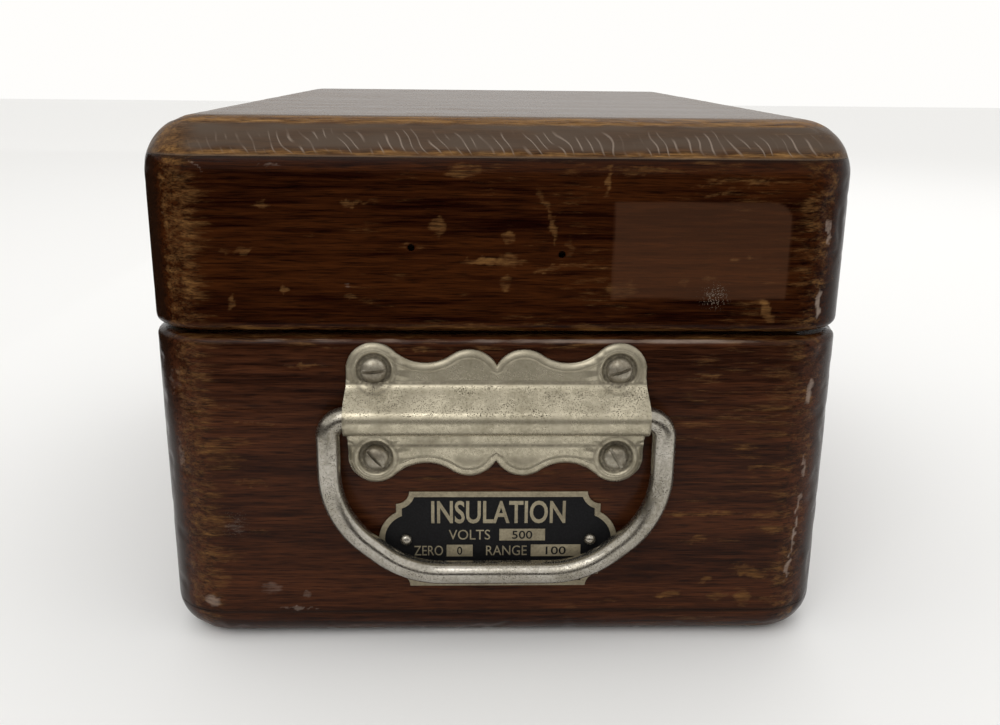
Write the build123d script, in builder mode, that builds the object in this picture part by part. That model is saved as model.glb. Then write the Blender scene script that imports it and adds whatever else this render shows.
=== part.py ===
from build123d import *
import math
import os

# Insulation resistance tester in a wooden carrying case, in millimetres.
# +X is to the right of the handle end, +Y runs from the handle end to the rear, +Z is up.
# The origin is the centre of the case's flat underside.

os.makedirs("parts", exist_ok=True)

# ---------------------------------------------------------------- case and lid
WIDTH = 206.0
DEPTH = 292.0
HEIGHT = 161.0
CASE_TOP = 99.5
LID_BOTTOM = 101.0
CORNER_RADIUS = 19.0
TOP_ROUNDOVER = 16.0
BOTTOM_ROUNDOVER = 12.0
RIM_ROUNDING = 2.5
WALL = 12.0
TOP_BOARD = 10.5
BOTTOM_BOARD = 11.0

LEFT, RIGHT = -WIDTH / 2, WIDTH / 2
FRONT, REAR = -DEPTH / 2, DEPTH / 2
INNER_X = RIGHT - WALL
INNER_Y = REAR - WALL
CEILING = HEIGHT - TOP_BOARD
LID_HOLES = ((-25.4, 125.6), (17.2, 123.9))
LID_HOLE_RADIUS = 0.9
LID_HOLE_DEPTH = 6.0

# ---------------------------------------------------------------- handle and nameplate
HANDLE_X = -0.9
HANDLE_Z = 76.5
PLATE_SHEET = 1.6
PLATE_SCREW_X = 35.75
PLATE_SCREW_Z = 13.5
PLATE_SCREW_HOLE = 2.3
LOBE_RADIUS = 8.1
HUMP_RADIUS = 9.16
HUMP_X = 8.0
HUMP_Z = 10.44
VALLEY_RADIUS = 13.1
BARREL_LENGTH = 88.7
BARREL_WALL = 1.6
MOUTH_FLARE = 0.8
MOUTH_DEPTH = 2.6
BAIL_RADIUS = 3.5
BAIL_CLEARANCE = 0.08
BAIL_AXIS_Y = FRONT - 4.8
BAIL_HALF_WIDTH = 49.2
BAIL_DROP = 49.4
BAIL_SHOULDER = 31.0
BAIL_FOOT = 26.5
BAIL_END = 28.0
BAIL_BEND = 6.5
BAIL_SWEEP = 29.0

NAMEPLATE_Z = 35.9
NAMEPLATE_SHEET = 0.6
NAMEPLATE_HALF_HEIGHT = 15.7
NAMEPLATE_FLAT = 27.0
NAMEPLATE_STEP = 31.0
NAMEPLATE_HALF_WIDTH = 36.3
NAMEPLATE_SHOULDER = 8.9
NAMEPLATE_PIN_X = 28.1
NAMEPLATE_PIN_HOLE = 0.9

# ---------------------------------------------------------------- hinges and hook catches
HINGE_X = LEFT - 2.0
HINGE_Z = 100.25
HINGE_Y = (-82.0, 82.0)
HINGE_LENGTH = 50.0
HINGE_KNUCKLES = 5
HINGE_BARREL = 1.9
HINGE_PIN = 1.1
HINGE_FIT = 0.06
LEAF_SHEET = 0.7
LEAF_REACH = 12.0
STOP_SHEET = 0.8
STOP_REACH = 4.0
HINGE_SCREW_X = LEFT + 6.0
HINGE_SCREW_Y = (-17.0, 0.0, 17.0)
HINGE_SCREW_HOLE = 2.25

HOOK_Y = (-80.0, 80.0)
HOOK_PIVOT_Z = 113.0
HOOK_LENGTH = 24.0
HOOK_SWING = 35.0
HOOK_SHEET = 1.6
HOOK_HALF_WIDTH = 3.6
HOOK_FACE = RIGHT + 0.5
HOOK_SHOULDER = 2.0
HOOK_FIT = 0.08
STUD_RADIUS = 1.5

# ---------------------------------------------------------------- panel and what it carries
PANEL_SHEET = 4.0
PANEL_TOP = 89.0
PANEL_UNDER = PANEL_TOP - PANEL_SHEET
LINER_TOP = 104.0
LINER_SHEET = 3.5
LINER_CLEARANCE = 0.5
PANEL_HALF_X = INNER_X - LINER_SHEET - 0.3
PANEL_HALF_Y = INNER_Y - LINER_SHEET - 0.3
RAIL_WIDTH = 12.0
RAIL_HEIGHT = 12.0
PANEL_SCREW_X = 82.6
PANEL_SCREW_Y = (-118.0, 0.0, 118.0)

METER_X = -22.0
METER_HALF_X = 56.0
METER_HALF_Y = 62.0
METER_TOP = 109.0
METER_WALL = 3.0
METER_WINDOW = ((-72.0, -50.0), (-10.0, 50.0))
PIVOT_X = 4.0
HOUSING_RADIUS = 28.0
HOUSING_FLOOR = 55.5
POLE_BOTTOM, POLE_TOP = 66.0, 80.0
CORE_RADIUS = 9.0
COIL_RADIUS = 10.3
COIL_TURN = 44.0
POINTER_REACH = 65.0

SHAFT_RADIUS = 3.17
SHAFT_FIT = 0.08
RANGE_X, RANGE_Y = -40.0, 95.0
ZERO_X, ZERO_Y = 25.0, 95.0
BUTTON_X, BUTTON_Y = 60.0, 0.0
BUTTON_RADIUS = 6.0
POST_X = (-50.0, -15.0, 20.0)
POST_Y = -100.0
POST_NAMES = ("post_cap_line", "post_cap_guard", "post_cap_earth")

BATTERY_X = (-36.0, 36.0)
BATTERY_Y = -20.0
BATTERY_SIZE = (62.0, 104.0, 40.0)
BOARD_Y = 62.0

UPRIGHT = (Align.CENTER, Align.CENTER, Align.MIN)
DOWNWARD = (Align.CENTER, Align.CENTER, Align.MAX)


# ---------------------------------------------------------------- helpers
def write(builder, name):
    """Label one finished piece and write its own STEP file."""
    builder.part.label = name
    export_step(builder.part, f"parts/{name}.step")


def corner_box(low, high, mode=Mode.ADD):
    """A box between its lowest and highest corners."""
    size = [b - a for a, b in zip(low, high)]
    middle = [(a + b) / 2 for a, b in zip(low, high)]
    with Locations(tuple(middle)):
        Box(*size, mode=mode)


def post(x, y, low, high, radius, mode=Mode.ADD):
    """An upright round bar between two heights."""
    with Locations((x, y, low)):
        Cylinder(radius, high - low, align=UPRIGHT, mode=mode)


def polar(x, y, radius, degrees):
    """The point at a radius and an angle round an upright axis."""
    turn = math.radians(degrees)
    return x + radius * math.cos(turn), y + radius * math.sin(turn)


def rounded_block(low, high, rounding_low, rounding_high):
    """The outside of the case or of the lid as one solid block."""
    with BuildPart() as block:
        with BuildSketch(Plane.XY.offset(low)):
            RectangleRounded(WIDTH, DEPTH, CORNER_RADIUS)
        extrude(amount=high - low)
        fillet(block.faces().sort_by(Axis.Z)[0].edges(), rounding_low)
        fillet(block.faces().sort_by(Axis.Z)[-1].edges(), rounding_high)
    return block.part


def round_head_screw(head_radius, head_height, shank_radius, length, slot_width):
    """A slotted round-head wood screw, point down, the underside of its head at z = 0."""
    with BuildPart() as screw:
        with BuildSketch(Plane.XZ):
            with BuildLine():
                Polyline(
                    (0, head_height),
                    (0, -length),
                    (shank_radius, -length + 2 * shank_radius),
                    (shank_radius, 0),
                    (head_radius, 0),
                )
                ThreePointArc(
                    (head_radius, 0),
                    (0.76 * head_radius, 0.65 * head_height),
                    (0, head_height),
                )
            make_face()
        revolve(axis=Axis.Z)
        with Locations((0, 0, head_height)):
            Box(2.2 * head_radius, slot_width, head_height, mode=Mode.SUBTRACT)
    return screw.part


def flat_head_screw(head_radius, shank_radius, length, slot_width):
    """A slotted countersunk wood screw, point down, the top of its head at z = 0."""
    sink = head_radius - shank_radius
    with BuildPart() as screw:
        with BuildSketch(Plane.XZ):
            with BuildLine():
                Polyline(
                    (0, 0),
                    (0, -length),
                    (shank_radius, -length + 2 * shank_radius),
                    (shank_radius, -sink),
                    (head_radius, 0),
                    close=True,
                )
            make_face()
        revolve(axis=Axis.Z)
        with Locations((0, 0, 0)):
            Box(2.2 * head_radius, slot_width, 0.5, mode=Mode.SUBTRACT)
    return screw.part


def touch_point(centre_a, radius_a, centre_b):
    """The point of circle A that lies towards the centre of circle B."""
    across = (centre_b[0] - centre_a[0], centre_b[1] - centre_a[1])
    length = math.hypot(*across)
    return tuple(a + radius_a * d / length for a, d in zip(centre_a, across))


def touching_centre(centre_a, radius_a, centre_b, radius_b, radius):
    """The centre of a circle that rests on circles A and B from above, B being left of A."""
    span = math.dist(centre_a, centre_b)
    reach_a, reach_b = radius_a + radius, radius_b + radius
    along = (reach_a**2 - reach_b**2 + span**2) / (2 * span)
    aside = math.sqrt(reach_a**2 - along**2)
    across = [(b - a) / span for a, b in zip(centre_a, centre_b)]
    return (
        centre_a[0] + along * across[0] + aside * across[1],
        centre_a[1] + along * across[1] - aside * across[0],
    )


# ---------------------------------------------------------------- wooden case
CASE_BLOCK = rounded_block(0, CASE_TOP, BOTTOM_ROUNDOVER, RIM_ROUNDING)
LID_BLOCK = rounded_block(LID_BOTTOM, HEIGHT, RIM_ROUNDING, TOP_ROUNDOVER)

case_boards = {
    "case_end_front": ((LEFT, FRONT, BOTTOM_BOARD), (RIGHT, -INNER_Y, CASE_TOP)),
    "case_end_rear": ((LEFT, INNER_Y, BOTTOM_BOARD), (RIGHT, REAR, CASE_TOP)),
    "case_side_left": ((LEFT, -INNER_Y, BOTTOM_BOARD), (-INNER_X, INNER_Y, CASE_TOP)),
    "case_side_right": ((INNER_X, -INNER_Y, BOTTOM_BOARD), (RIGHT, INNER_Y, CASE_TOP)),
    "case_bottom": ((LEFT, FRONT, 0), (RIGHT, REAR, BOTTOM_BOARD)),
}
for name, (low, high) in case_boards.items():
    with BuildPart() as case_board:
        add(CASE_BLOCK)
        corner_box(low, high, mode=Mode.INTERSECT)
    write(case_board, name)

lid_boards = {
    "lid_end_front": ((LEFT, FRONT, LID_BOTTOM), (RIGHT, -INNER_Y, CEILING)),
    "lid_end_rear": ((LEFT, INNER_Y, LID_BOTTOM), (RIGHT, REAR, CEILING)),
    "lid_side_left": ((LEFT, -INNER_Y, LID_BOTTOM), (-INNER_X, INNER_Y, CEILING)),
    "lid_side_right": ((INNER_X, -INNER_Y, LID_BOTTOM), (RIGHT, INNER_Y, CEILING)),
    "lid_top": ((LEFT, FRONT, CEILING), (RIGHT, REAR, HEIGHT)),
}
for name, (low, high) in lid_boards.items():
    with BuildPart() as lid_board:
        add(LID_BLOCK)
        corner_box(low, high, mode=Mode.INTERSECT)
        if name == "lid_end_front":
            for x, z in LID_HOLES:
                with Locations(Plane(origin=(x, FRONT, z), z_dir=(0, -1, 0))):
                    Cylinder(LID_HOLE_RADIUS, 2 * LID_HOLE_DEPTH, mode=Mode.SUBTRACT)
    write(lid_board, name)

# Four thin strips inside the rim: they stand up into the lid and keep dust off the panel.
with BuildPart() as rim_liner:
    for side in (-1, 1):
        for half_x, half_y, high in (
            (INNER_X, INNER_Y, CASE_TOP),
            (INNER_X - LINER_CLEARANCE, INNER_Y - LINER_CLEARANCE, LINER_TOP),
        ):
            x_near, x_far = side * (INNER_X - LINER_SHEET), side * half_x
            y_near, y_far = side * (INNER_Y - LINER_SHEET), side * half_y
            strip_y = min(half_y, INNER_Y - LINER_SHEET)
            corner_box(
                (min(x_near, x_far), -strip_y, PANEL_UNDER), (max(x_near, x_far), strip_y, high)
            )
            corner_box(
                (-half_x, min(y_near, y_far), PANEL_UNDER), (half_x, max(y_near, y_far), high)
            )
write(rim_liner, "rim_liner")

with BuildPart() as panel_rails:
    for side in (-1, 1):
        x_near, x_far = side * (INNER_X - RAIL_WIDTH), side * INNER_X
        corner_box(
            (min(x_near, x_far), -INNER_Y, PANEL_UNDER - RAIL_HEIGHT),
            (max(x_near, x_far), INNER_Y, PANEL_UNDER),
        )
write(panel_rails, "panel_rails")

# ---------------------------------------------------------------- handle
lobe = (PLATE_SCREW_X, PLATE_SCREW_Z)
hump = (HUMP_X, HUMP_Z)
valley = touching_centre(lobe, LOBE_RADIUS, hump, HUMP_RADIUS, VALLEY_RADIUS)
lobe_top = touch_point(lobe, LOBE_RADIUS, valley)
hump_side = touch_point(hump, HUMP_RADIUS, valley)
hump_top = (HUMP_X, HUMP_Z + HUMP_RADIUS)
notch = (0, HUMP_Z + math.sqrt(HUMP_RADIUS**2 - HUMP_X**2))
lobe_crest = (PLATE_SCREW_X, PLATE_SCREW_Z + LOBE_RADIUS)
lobe_side = (PLATE_SCREW_X + LOBE_RADIUS, PLATE_SCREW_Z)
valley_floor = (valley[0], valley[1] - VALLEY_RADIUS)

HANDLE_PLANE = Plane(origin=(HANDLE_X, FRONT, HANDLE_Z), x_dir=(1, 0, 0), z_dir=(0, -1, 0))
barrel_reach = FRONT - BAIL_AXIS_Y
tunnel_radius = BAIL_RADIUS + BAIL_CLEARANCE
barrel_radius = tunnel_radius + BARREL_WALL
BARREL_PLANE = Plane(
    origin=(HANDLE_X - BARREL_LENGTH / 2, FRONT, HANDLE_Z), x_dir=(0, -1, 0), z_dir=(1, 0, 0)
)

with BuildPart() as handle_plate:
    with BuildSketch(HANDLE_PLANE):
        with BuildLine():
            Line((0, 0), notch)
            ThreePointArc(notch, hump_top, hump_side)
            ThreePointArc(hump_side, valley_floor, lobe_top)
            ThreePointArc(lobe_top, lobe_crest, lobe_side)
            Line(lobe_side, (lobe_side[0], 0))
            Line((lobe_side[0], 0), (0, 0))
        make_face()
        mirror(about=Plane.XZ)
        mirror(about=Plane.YZ)
    extrude(amount=PLATE_SHEET)
    # The barrel: the sheet is formed over the rod, with a sloping shoulder above it.
    with BuildSketch(BARREL_PLANE):
        with Locations((barrel_reach, 0)):
            Circle(barrel_radius)
        with BuildLine():
            Polyline(
                (0, -barrel_radius),
                (barrel_reach, -barrel_radius),
                (barrel_reach + 0.6 * barrel_radius, 0.8 * barrel_radius),
                (PLATE_SHEET, barrel_radius + 3.6),
                (0, barrel_radius + 3.6),
                close=True,
            )
        make_face()
        with Locations((-barrel_reach, 0)):
            Rectangle(2 * barrel_reach, 4 * barrel_radius, mode=Mode.SUBTRACT)
    extrude(amount=BARREL_LENGTH)
    with BuildSketch(BARREL_PLANE):
        with Locations((barrel_reach, 0)):
            Circle(tunnel_radius)
        with Locations((barrel_reach / 2, 0)):
            Rectangle(barrel_reach, 2 * tunnel_radius)
    extrude(amount=BARREL_LENGTH, mode=Mode.SUBTRACT)
    # Both mouths are a little wider, where the rod starts to bend.
    for x in (HANDLE_X - BARREL_LENGTH / 2, HANDLE_X + BARREL_LENGTH / 2):
        with Locations(Plane(origin=(x, BAIL_AXIS_Y, HANDLE_Z), z_dir=(1, 0, 0))):
            Cylinder(tunnel_radius + MOUTH_FLARE, 2 * MOUTH_DEPTH, mode=Mode.SUBTRACT)
    with BuildSketch(HANDLE_PLANE):
        with GridLocations(2 * PLATE_SCREW_X, 2 * PLATE_SCREW_Z, 2, 2):
            Circle(PLATE_SCREW_HOLE)
    extrude(amount=PLATE_SHEET, mode=Mode.SUBTRACT)
write(handle_plate, "handle_plate")

BAIL_PLANE = Plane(origin=(HANDLE_X, BAIL_AXIS_Y, HANDLE_Z), x_dir=(1, 0, 0), z_dir=(0, -1, 0))
BAIL_TIP = Plane(origin=(HANDLE_X - BAIL_END, BAIL_AXIS_Y, HANDLE_Z), z_dir=(-1, 0, 0))
with BuildPart() as handle_bail:
    with BuildLine(BAIL_PLANE):
        FilletPolyline(
            (-BAIL_END, 0),
            (-BAIL_HALF_WIDTH, 0),
            (-BAIL_HALF_WIDTH, -BAIL_SHOULDER),
            (-BAIL_FOOT, -BAIL_DROP),
            (BAIL_FOOT, -BAIL_DROP),
            (BAIL_HALF_WIDTH, -BAIL_SHOULDER),
            (BAIL_HALF_WIDTH, 0),
            (BAIL_END, 0),
            radius=[BAIL_BEND, BAIL_SWEEP, BAIL_SWEEP, BAIL_SWEEP, BAIL_SWEEP, BAIL_BEND],
        )
    with BuildSketch(BAIL_TIP):
        Circle(BAIL_RADIUS)
    sweep()
write(handle_bail, "handle_bail")

HANDLE_SCREW = round_head_screw(3.9, 2.6, 2.1, 13.0, 1.1)
screw_turns = {(-1, 1): 5.0, (1, 1): 18.0, (-1, -1): -48.0, (1, -1): -58.0}
with BuildPart() as handle_screws:
    for (side, level), turn in screw_turns.items():
        slot = (math.cos(math.radians(turn)), 0, math.sin(math.radians(turn)))
        seat = (HANDLE_X + side * PLATE_SCREW_X, FRONT - PLATE_SHEET, HANDLE_Z + level * PLATE_SCREW_Z)
        with Locations(Plane(origin=seat, x_dir=slot, z_dir=(0, -1, 0))):
            add(HANDLE_SCREW)
write(handle_screws, "handle_screws")

# ---------------------------------------------------------------- nameplate
NAMEPLATE_PLANE = Plane(origin=(0, FRONT, NAMEPLATE_Z), x_dir=(1, 0, 0), z_dir=(0, -1, 0))
scoop = NAMEPLATE_STEP - NAMEPLATE_FLAT
with BuildPart() as nameplate:
    with BuildSketch(NAMEPLATE_PLANE):
        with BuildLine():
            Line((0, 0), (0, NAMEPLATE_HALF_HEIGHT))
            Line((0, NAMEPLATE_HALF_HEIGHT), (NAMEPLATE_FLAT, NAMEPLATE_HALF_HEIGHT))
            RadiusArc(
                (NAMEPLATE_FLAT, NAMEPLATE_HALF_HEIGHT),
                (NAMEPLATE_STEP, NAMEPLATE_HALF_HEIGHT - scoop),
                -scoop,
            )
            Line(
                (NAMEPLATE_STEP, NAMEPLATE_HALF_HEIGHT - scoop), (NAMEPLATE_STEP, NAMEPLATE_SHOULDER)
            )
            bow = (NAMEPLATE_HALF_WIDTH - NAMEPLATE_STEP) / 2
            bow_radius = (NAMEPLATE_SHOULDER**2 + 4 * bow**2) / (4 * bow)
            RadiusArc(
                (NAMEPLATE_STEP, NAMEPLATE_SHOULDER), (NAMEPLATE_HALF_WIDTH, 0), bow_radius
            )
            Line((NAMEPLATE_HALF_WIDTH, 0), (0, 0))
        make_face()
        mirror(about=Plane.XZ)
        mirror(about=Plane.YZ)
    extrude(amount=NAMEPLATE_SHEET)
    with BuildSketch(NAMEPLATE_PLANE):
        with GridLocations(2 * NAMEPLATE_PIN_X, 0, 2, 1):
            Circle(NAMEPLATE_PIN_HOLE)
    extrude(amount=NAMEPLATE_SHEET, mode=Mode.SUBTRACT)
write(nameplate, "nameplate")

NAMEPLATE_PIN = round_head_screw(1.9, 1.5, 0.8, 9.0, 0.01)
with BuildPart() as nameplate_pins:
    for side in (-1, 1):
        seat = (side * NAMEPLATE_PIN_X, FRONT - NAMEPLATE_SHEET, NAMEPLATE_Z)
        with Locations(Plane(origin=seat, x_dir=(1, 0, 0), z_dir=(0, -1, 0))):
            add(NAMEPLATE_PIN)
write(nameplate_pins, "nameplate_pins")

# ---------------------------------------------------------------- hinges
knuckle = HINGE_LENGTH / HINGE_KNUCKLES
knuckle_gap = 0.3
leaf_gap = 0.05
lip_near = HINGE_X + 1.1
lip_far = HINGE_X - HINGE_BARREL - STOP_REACH + 1.5
lip_bottom = HINGE_Z - STOP_REACH - 1.0


def along_hinge(x, y_low, y_high, z, radius, mode=Mode.ADD):
    """A round bar parallel to the hinge line."""
    with Locations(Plane(origin=(x, (y_low + y_high) / 2, z), z_dir=(0, 1, 0))):
        Cylinder(radius, y_high - y_low, mode=mode)


def hinge_leaves(first_knuckle, up):
    """Both leaves of one kind: a plate on the rim, its knuckles and their stop lips."""
    with BuildPart() as leaves:
        for middle in HINGE_Y:
            start = middle - HINGE_LENGTH / 2
            for index in range(first_knuckle, HINGE_KNUCKLES, 2):
                y_low = start + index * knuckle + knuckle_gap / 2
                y_high = start + (index + 1) * knuckle - knuckle_gap / 2
                along_hinge(HINGE_X, y_low, y_high, HINGE_Z, HINGE_BARREL)
                near, far = sorted((leaf_gap, leaf_gap + LEAF_SHEET))
                z_low, z_high = sorted((HINGE_Z + up * near, HINGE_Z + up * far))
                corner_box((HINGE_X, y_low, z_low), (HINGE_X + 3.5, y_high, z_high))
                if up > 0:
                    corner_box(
                        (lip_far, y_low, HINGE_Z - STOP_SHEET / 2),
                        (HINGE_X - HINGE_PIN - 0.4, y_high, HINGE_Z + STOP_SHEET / 2),
                    )
                else:
                    corner_box(
                        (lip_near, y_low, lip_bottom),
                        (lip_near + STOP_SHEET, y_high, HINGE_Z - 0.5),
                    )
            z_low, z_high = sorted((HINGE_Z + up * leaf_gap, HINGE_Z + up * (leaf_gap + LEAF_SHEET)))
            corner_box(
                (HINGE_X + 2.4, start, z_low), (HINGE_X + 2.0 + LEAF_REACH, start + HINGE_LENGTH, z_high)
            )
            if up < 0:
                corner_box(
                    (lip_near, start, lip_bottom),
                    (lip_near + STOP_SHEET, start + HINGE_LENGTH, HINGE_Z - 2.4),
                )
            else:
                corner_box(
                    (lip_far, start, HINGE_Z - STOP_SHEET / 2),
                    (HINGE_X - HINGE_BARREL - 0.5, start + HINGE_LENGTH, HINGE_Z + STOP_SHEET / 2),
                )
            bore = HINGE_PIN + HINGE_FIT if up > 0 else HINGE_PIN + 0.01
            along_hinge(HINGE_X, start - 1, start + HINGE_LENGTH + 1, HINGE_Z, bore, mode=Mode.SUBTRACT)
            for offset in HINGE_SCREW_Y:
                with Locations((HINGE_SCREW_X, middle + offset, HINGE_Z)):
                    Cylinder(HINGE_SCREW_HOLE, 4.0, mode=Mode.SUBTRACT)
    return leaves


write(hinge_leaves(0, -1), "hinge_case_leaves")
write(hinge_leaves(1, 1), "hinge_lid_leaves")

with BuildPart() as hinge_pins:
    for middle in HINGE_Y:
        reach = HINGE_LENGTH / 2
        along_hinge(HINGE_X, middle - reach, middle + reach, HINGE_Z, HINGE_PIN)
write(hinge_pins, "hinge_pins")

HINGE_SCREW = flat_head_screw(2.2, 1.1, 10.0, 0.6)
for name, up in (("hinge_case_screws", 1), ("hinge_lid_screws", -1)):
    with BuildPart() as hinge_screws:
        for middle in HINGE_Y:
            for offset in HINGE_SCREW_Y:
                seat = (HINGE_SCREW_X, middle + offset, HINGE_Z - up * 0.1)
                with Locations(Plane(origin=seat, x_dir=(1, 0, 0), z_dir=(0, 0, up))):
                    add(HINGE_SCREW)
    write(hinge_screws, name)

# ---------------------------------------------------------------- hook catches
hook_names = ("hook_front", "hook_rear")
for name, y in zip(hook_names, HOOK_Y):
    with BuildPart() as hook:
        with BuildSketch(Plane(origin=(HOOK_FACE, y, HOOK_PIVOT_Z), x_dir=(0, 1, 0), z_dir=(1, 0, 0))):
            Circle(HOOK_HALF_WIDTH + 1.2)
            with Locations((0, -HOOK_LENGTH / 2)):
                Rectangle(2 * HOOK_HALF_WIDTH, HOOK_LENGTH)
            with Locations((0, -HOOK_LENGTH)):
                Circle(HOOK_HALF_WIDTH + 0.6)
            with Locations((0, -HOOK_LENGTH)):
                Circle(STUD_RADIUS + 0.5, mode=Mode.SUBTRACT)
            with Locations((HOOK_HALF_WIDTH, -HOOK_LENGTH)):
                Rectangle(2 * HOOK_HALF_WIDTH, 2 * STUD_RADIUS + 1.0, mode=Mode.SUBTRACT)
            Circle(HOOK_SHOULDER + HOOK_FIT, mode=Mode.SUBTRACT)
        extrude(amount=HOOK_SHEET)
    write(hook, name)

HOOK_SCREW_HEAD = 4.2
with BuildPart() as hook_pivots:
    for y in HOOK_Y:
        with Locations(Plane(origin=(RIGHT, y, HOOK_PIVOT_Z), z_dir=(1, 0, 0))):
            Cylinder(HOOK_SHOULDER, HOOK_SHEET + 0.8, align=UPRIGHT)
            Cylinder(1.5, 11.0, align=DOWNWARD)
        with Locations(Plane(origin=(RIGHT + HOOK_SHEET + 0.8, y, HOOK_PIVOT_Z), z_dir=(1, 0, 0))):
            Cylinder(HOOK_SCREW_HEAD, 2.0, align=UPRIGHT)
    fillet(hook_pivots.faces().sort_by(Axis.X)[-2:].edges(), 0.9)
write(hook_pivots, "hook_pivots")

swing = math.radians(HOOK_SWING)
stud_y = HOOK_LENGTH * math.sin(swing)
stud_z = HOOK_PIVOT_Z - HOOK_LENGTH * math.cos(swing)
with BuildPart() as catch_studs:
    for y in HOOK_Y:
        with Locations(Plane(origin=(RIGHT, y + stud_y, stud_z), z_dir=(1, 0, 0))):
            Cylinder(STUD_RADIUS, HOOK_SHEET + 1.0, align=UPRIGHT)
            Cylinder(1.3, 10.0, align=DOWNWARD)
        with Locations(Plane(origin=(RIGHT + HOOK_SHEET + 1.0, y + stud_y, stud_z), z_dir=(1, 0, 0))):
            Cylinder(3.2, 1.8, align=UPRIGHT)
    fillet(catch_studs.faces().sort_by(Axis.X)[-2:].edges(), 0.8)
write(catch_studs, "catch_studs")

# ---------------------------------------------------------------- card inside the lid
CARD_HALF_X, CARD_HALF_Y = 64.0, 99.0
CARD_LOW = CEILING - 0.6
FRAME_LOW = CEILING - 2.1
with BuildPart() as instruction_card:
    corner_box((-CARD_HALF_X, -CARD_HALF_Y, CARD_LOW), (CARD_HALF_X, CARD_HALF_Y, CEILING))
write(instruction_card, "instruction_card")

with BuildPart() as card_frame:
    corner_box(
        (-CARD_HALF_X - 6, -CARD_HALF_Y - 6, FRAME_LOW), (CARD_HALF_X + 6, CARD_HALF_Y + 6, CEILING)
    )
    corner_box(
        (-CARD_HALF_X - 0.2, -CARD_HALF_Y - 0.2, CARD_LOW),
        (CARD_HALF_X + 0.2, CARD_HALF_Y + 0.2, CEILING),
        mode=Mode.SUBTRACT,
    )
    corner_box(
        (-CARD_HALF_X + 4, -CARD_HALF_Y + 4, FRAME_LOW),
        (CARD_HALF_X - 4, CARD_HALF_Y - 4, CEILING),
        mode=Mode.SUBTRACT,
    )
write(card_frame, "card_frame")

# ---------------------------------------------------------------- panel
SWITCH_BUSH = 4.8
BUTTON_BUSH = 9.0
POST_STUD = 2.5
panel_holes = (
    (PIVOT_X, 0.0, HOUSING_RADIUS + 0.5),
    (RANGE_X, RANGE_Y, SWITCH_BUSH + 0.2),
    (ZERO_X, ZERO_Y, SWITCH_BUSH + 0.2),
    (BUTTON_X, BUTTON_Y, BUTTON_BUSH + 0.2),
)
with BuildPart() as panel:
    corner_box(
        (-PANEL_HALF_X, -PANEL_HALF_Y, PANEL_UNDER), (PANEL_HALF_X, PANEL_HALF_Y, PANEL_TOP)
    )
    fillet(panel.edges().filter_by(Axis.Z), 2.0)
    chamfer(panel.faces().sort_by(Axis.Z)[-1].edges(), 0.6)
    for x, y, radius in panel_holes:
        post(x, y, PANEL_UNDER, PANEL_TOP, radius, mode=Mode.SUBTRACT)
    for x in POST_X:
        post(x, POST_Y, PANEL_UNDER, PANEL_TOP, POST_STUD + 0.2, mode=Mode.SUBTRACT)
    for x in (-PANEL_SCREW_X, PANEL_SCREW_X):
        for y in PANEL_SCREW_Y:
            post(x, y, PANEL_UNDER, PANEL_TOP, 2.0, mode=Mode.SUBTRACT)
write(panel, "panel")

PANEL_SCREW = round_head_screw(3.6, 2.2, 1.8, 14.0, 1.0)
with BuildPart() as panel_screws:
    for side in (-1, 1):
        for index, y in enumerate(PANEL_SCREW_Y):
            turn = math.radians(40.0 * index + 15.0 * side)
            seat = Plane(
                origin=(side * PANEL_SCREW_X, y, PANEL_TOP),
                x_dir=(math.cos(turn), math.sin(turn), 0),
                z_dir=(0, 0, 1),
            )
            with Locations(seat):
                add(PANEL_SCREW)
write(panel_screws, "panel_screws")

# ---------------------------------------------------------------- meter
meter_low = (METER_X - METER_HALF_X, -METER_HALF_Y)
meter_high = (METER_X + METER_HALF_X, METER_HALF_Y)
SCREW_HOLE_X = METER_X + METER_HALF_X - 12.0
with BuildPart() as meter_cover:
    corner_box((*meter_low, PANEL_TOP), (*meter_high, METER_TOP))
    fillet(meter_cover.edges().filter_by(Axis.Z), 9.0)
    fillet(meter_cover.faces().sort_by(Axis.Z)[-1].edges(), 3.5)
    corner_box(
        (meter_low[0] + METER_WALL, meter_low[1] + METER_WALL, PANEL_TOP),
        (meter_high[0] - METER_WALL, meter_high[1] - METER_WALL, METER_TOP - METER_WALL),
        mode=Mode.SUBTRACT,
    )
    corner_box(
        (*METER_WINDOW[0], METER_TOP - METER_WALL), (*METER_WINDOW[1], METER_TOP), mode=Mode.SUBTRACT
    )
    window_edges = meter_cover.faces().sort_by(Axis.Z)[-1].inner_wires()[0].edges()
    chamfer(window_edges, 2.0)
    post(SCREW_HOLE_X, 0, METER_TOP - METER_WALL, METER_TOP, 3.1, mode=Mode.SUBTRACT)
write(meter_cover, "meter_cover")

with BuildPart() as meter_glass:
    corner_box(
        (METER_WINDOW[0][0] - 2.5, METER_WINDOW[0][1] - 4, METER_TOP - METER_WALL - 2.0),
        (METER_WINDOW[1][0] + 2.5, METER_WINDOW[1][1] + 4, METER_TOP - METER_WALL),
    )
write(meter_glass, "meter_glass")

DIAL_LOW, DIAL_HIGH = 98.0, 98.8
dial_feet = ((-66.0, -46.0), (-66.0, 46.0), (-16.0, -46.0), (-16.0, 46.0))
with BuildPart() as meter_dial:
    corner_box((-72.0, -52.0, DIAL_LOW), (-8.0, 52.0, DIAL_HIGH))
write(meter_dial, "meter_dial")

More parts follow.
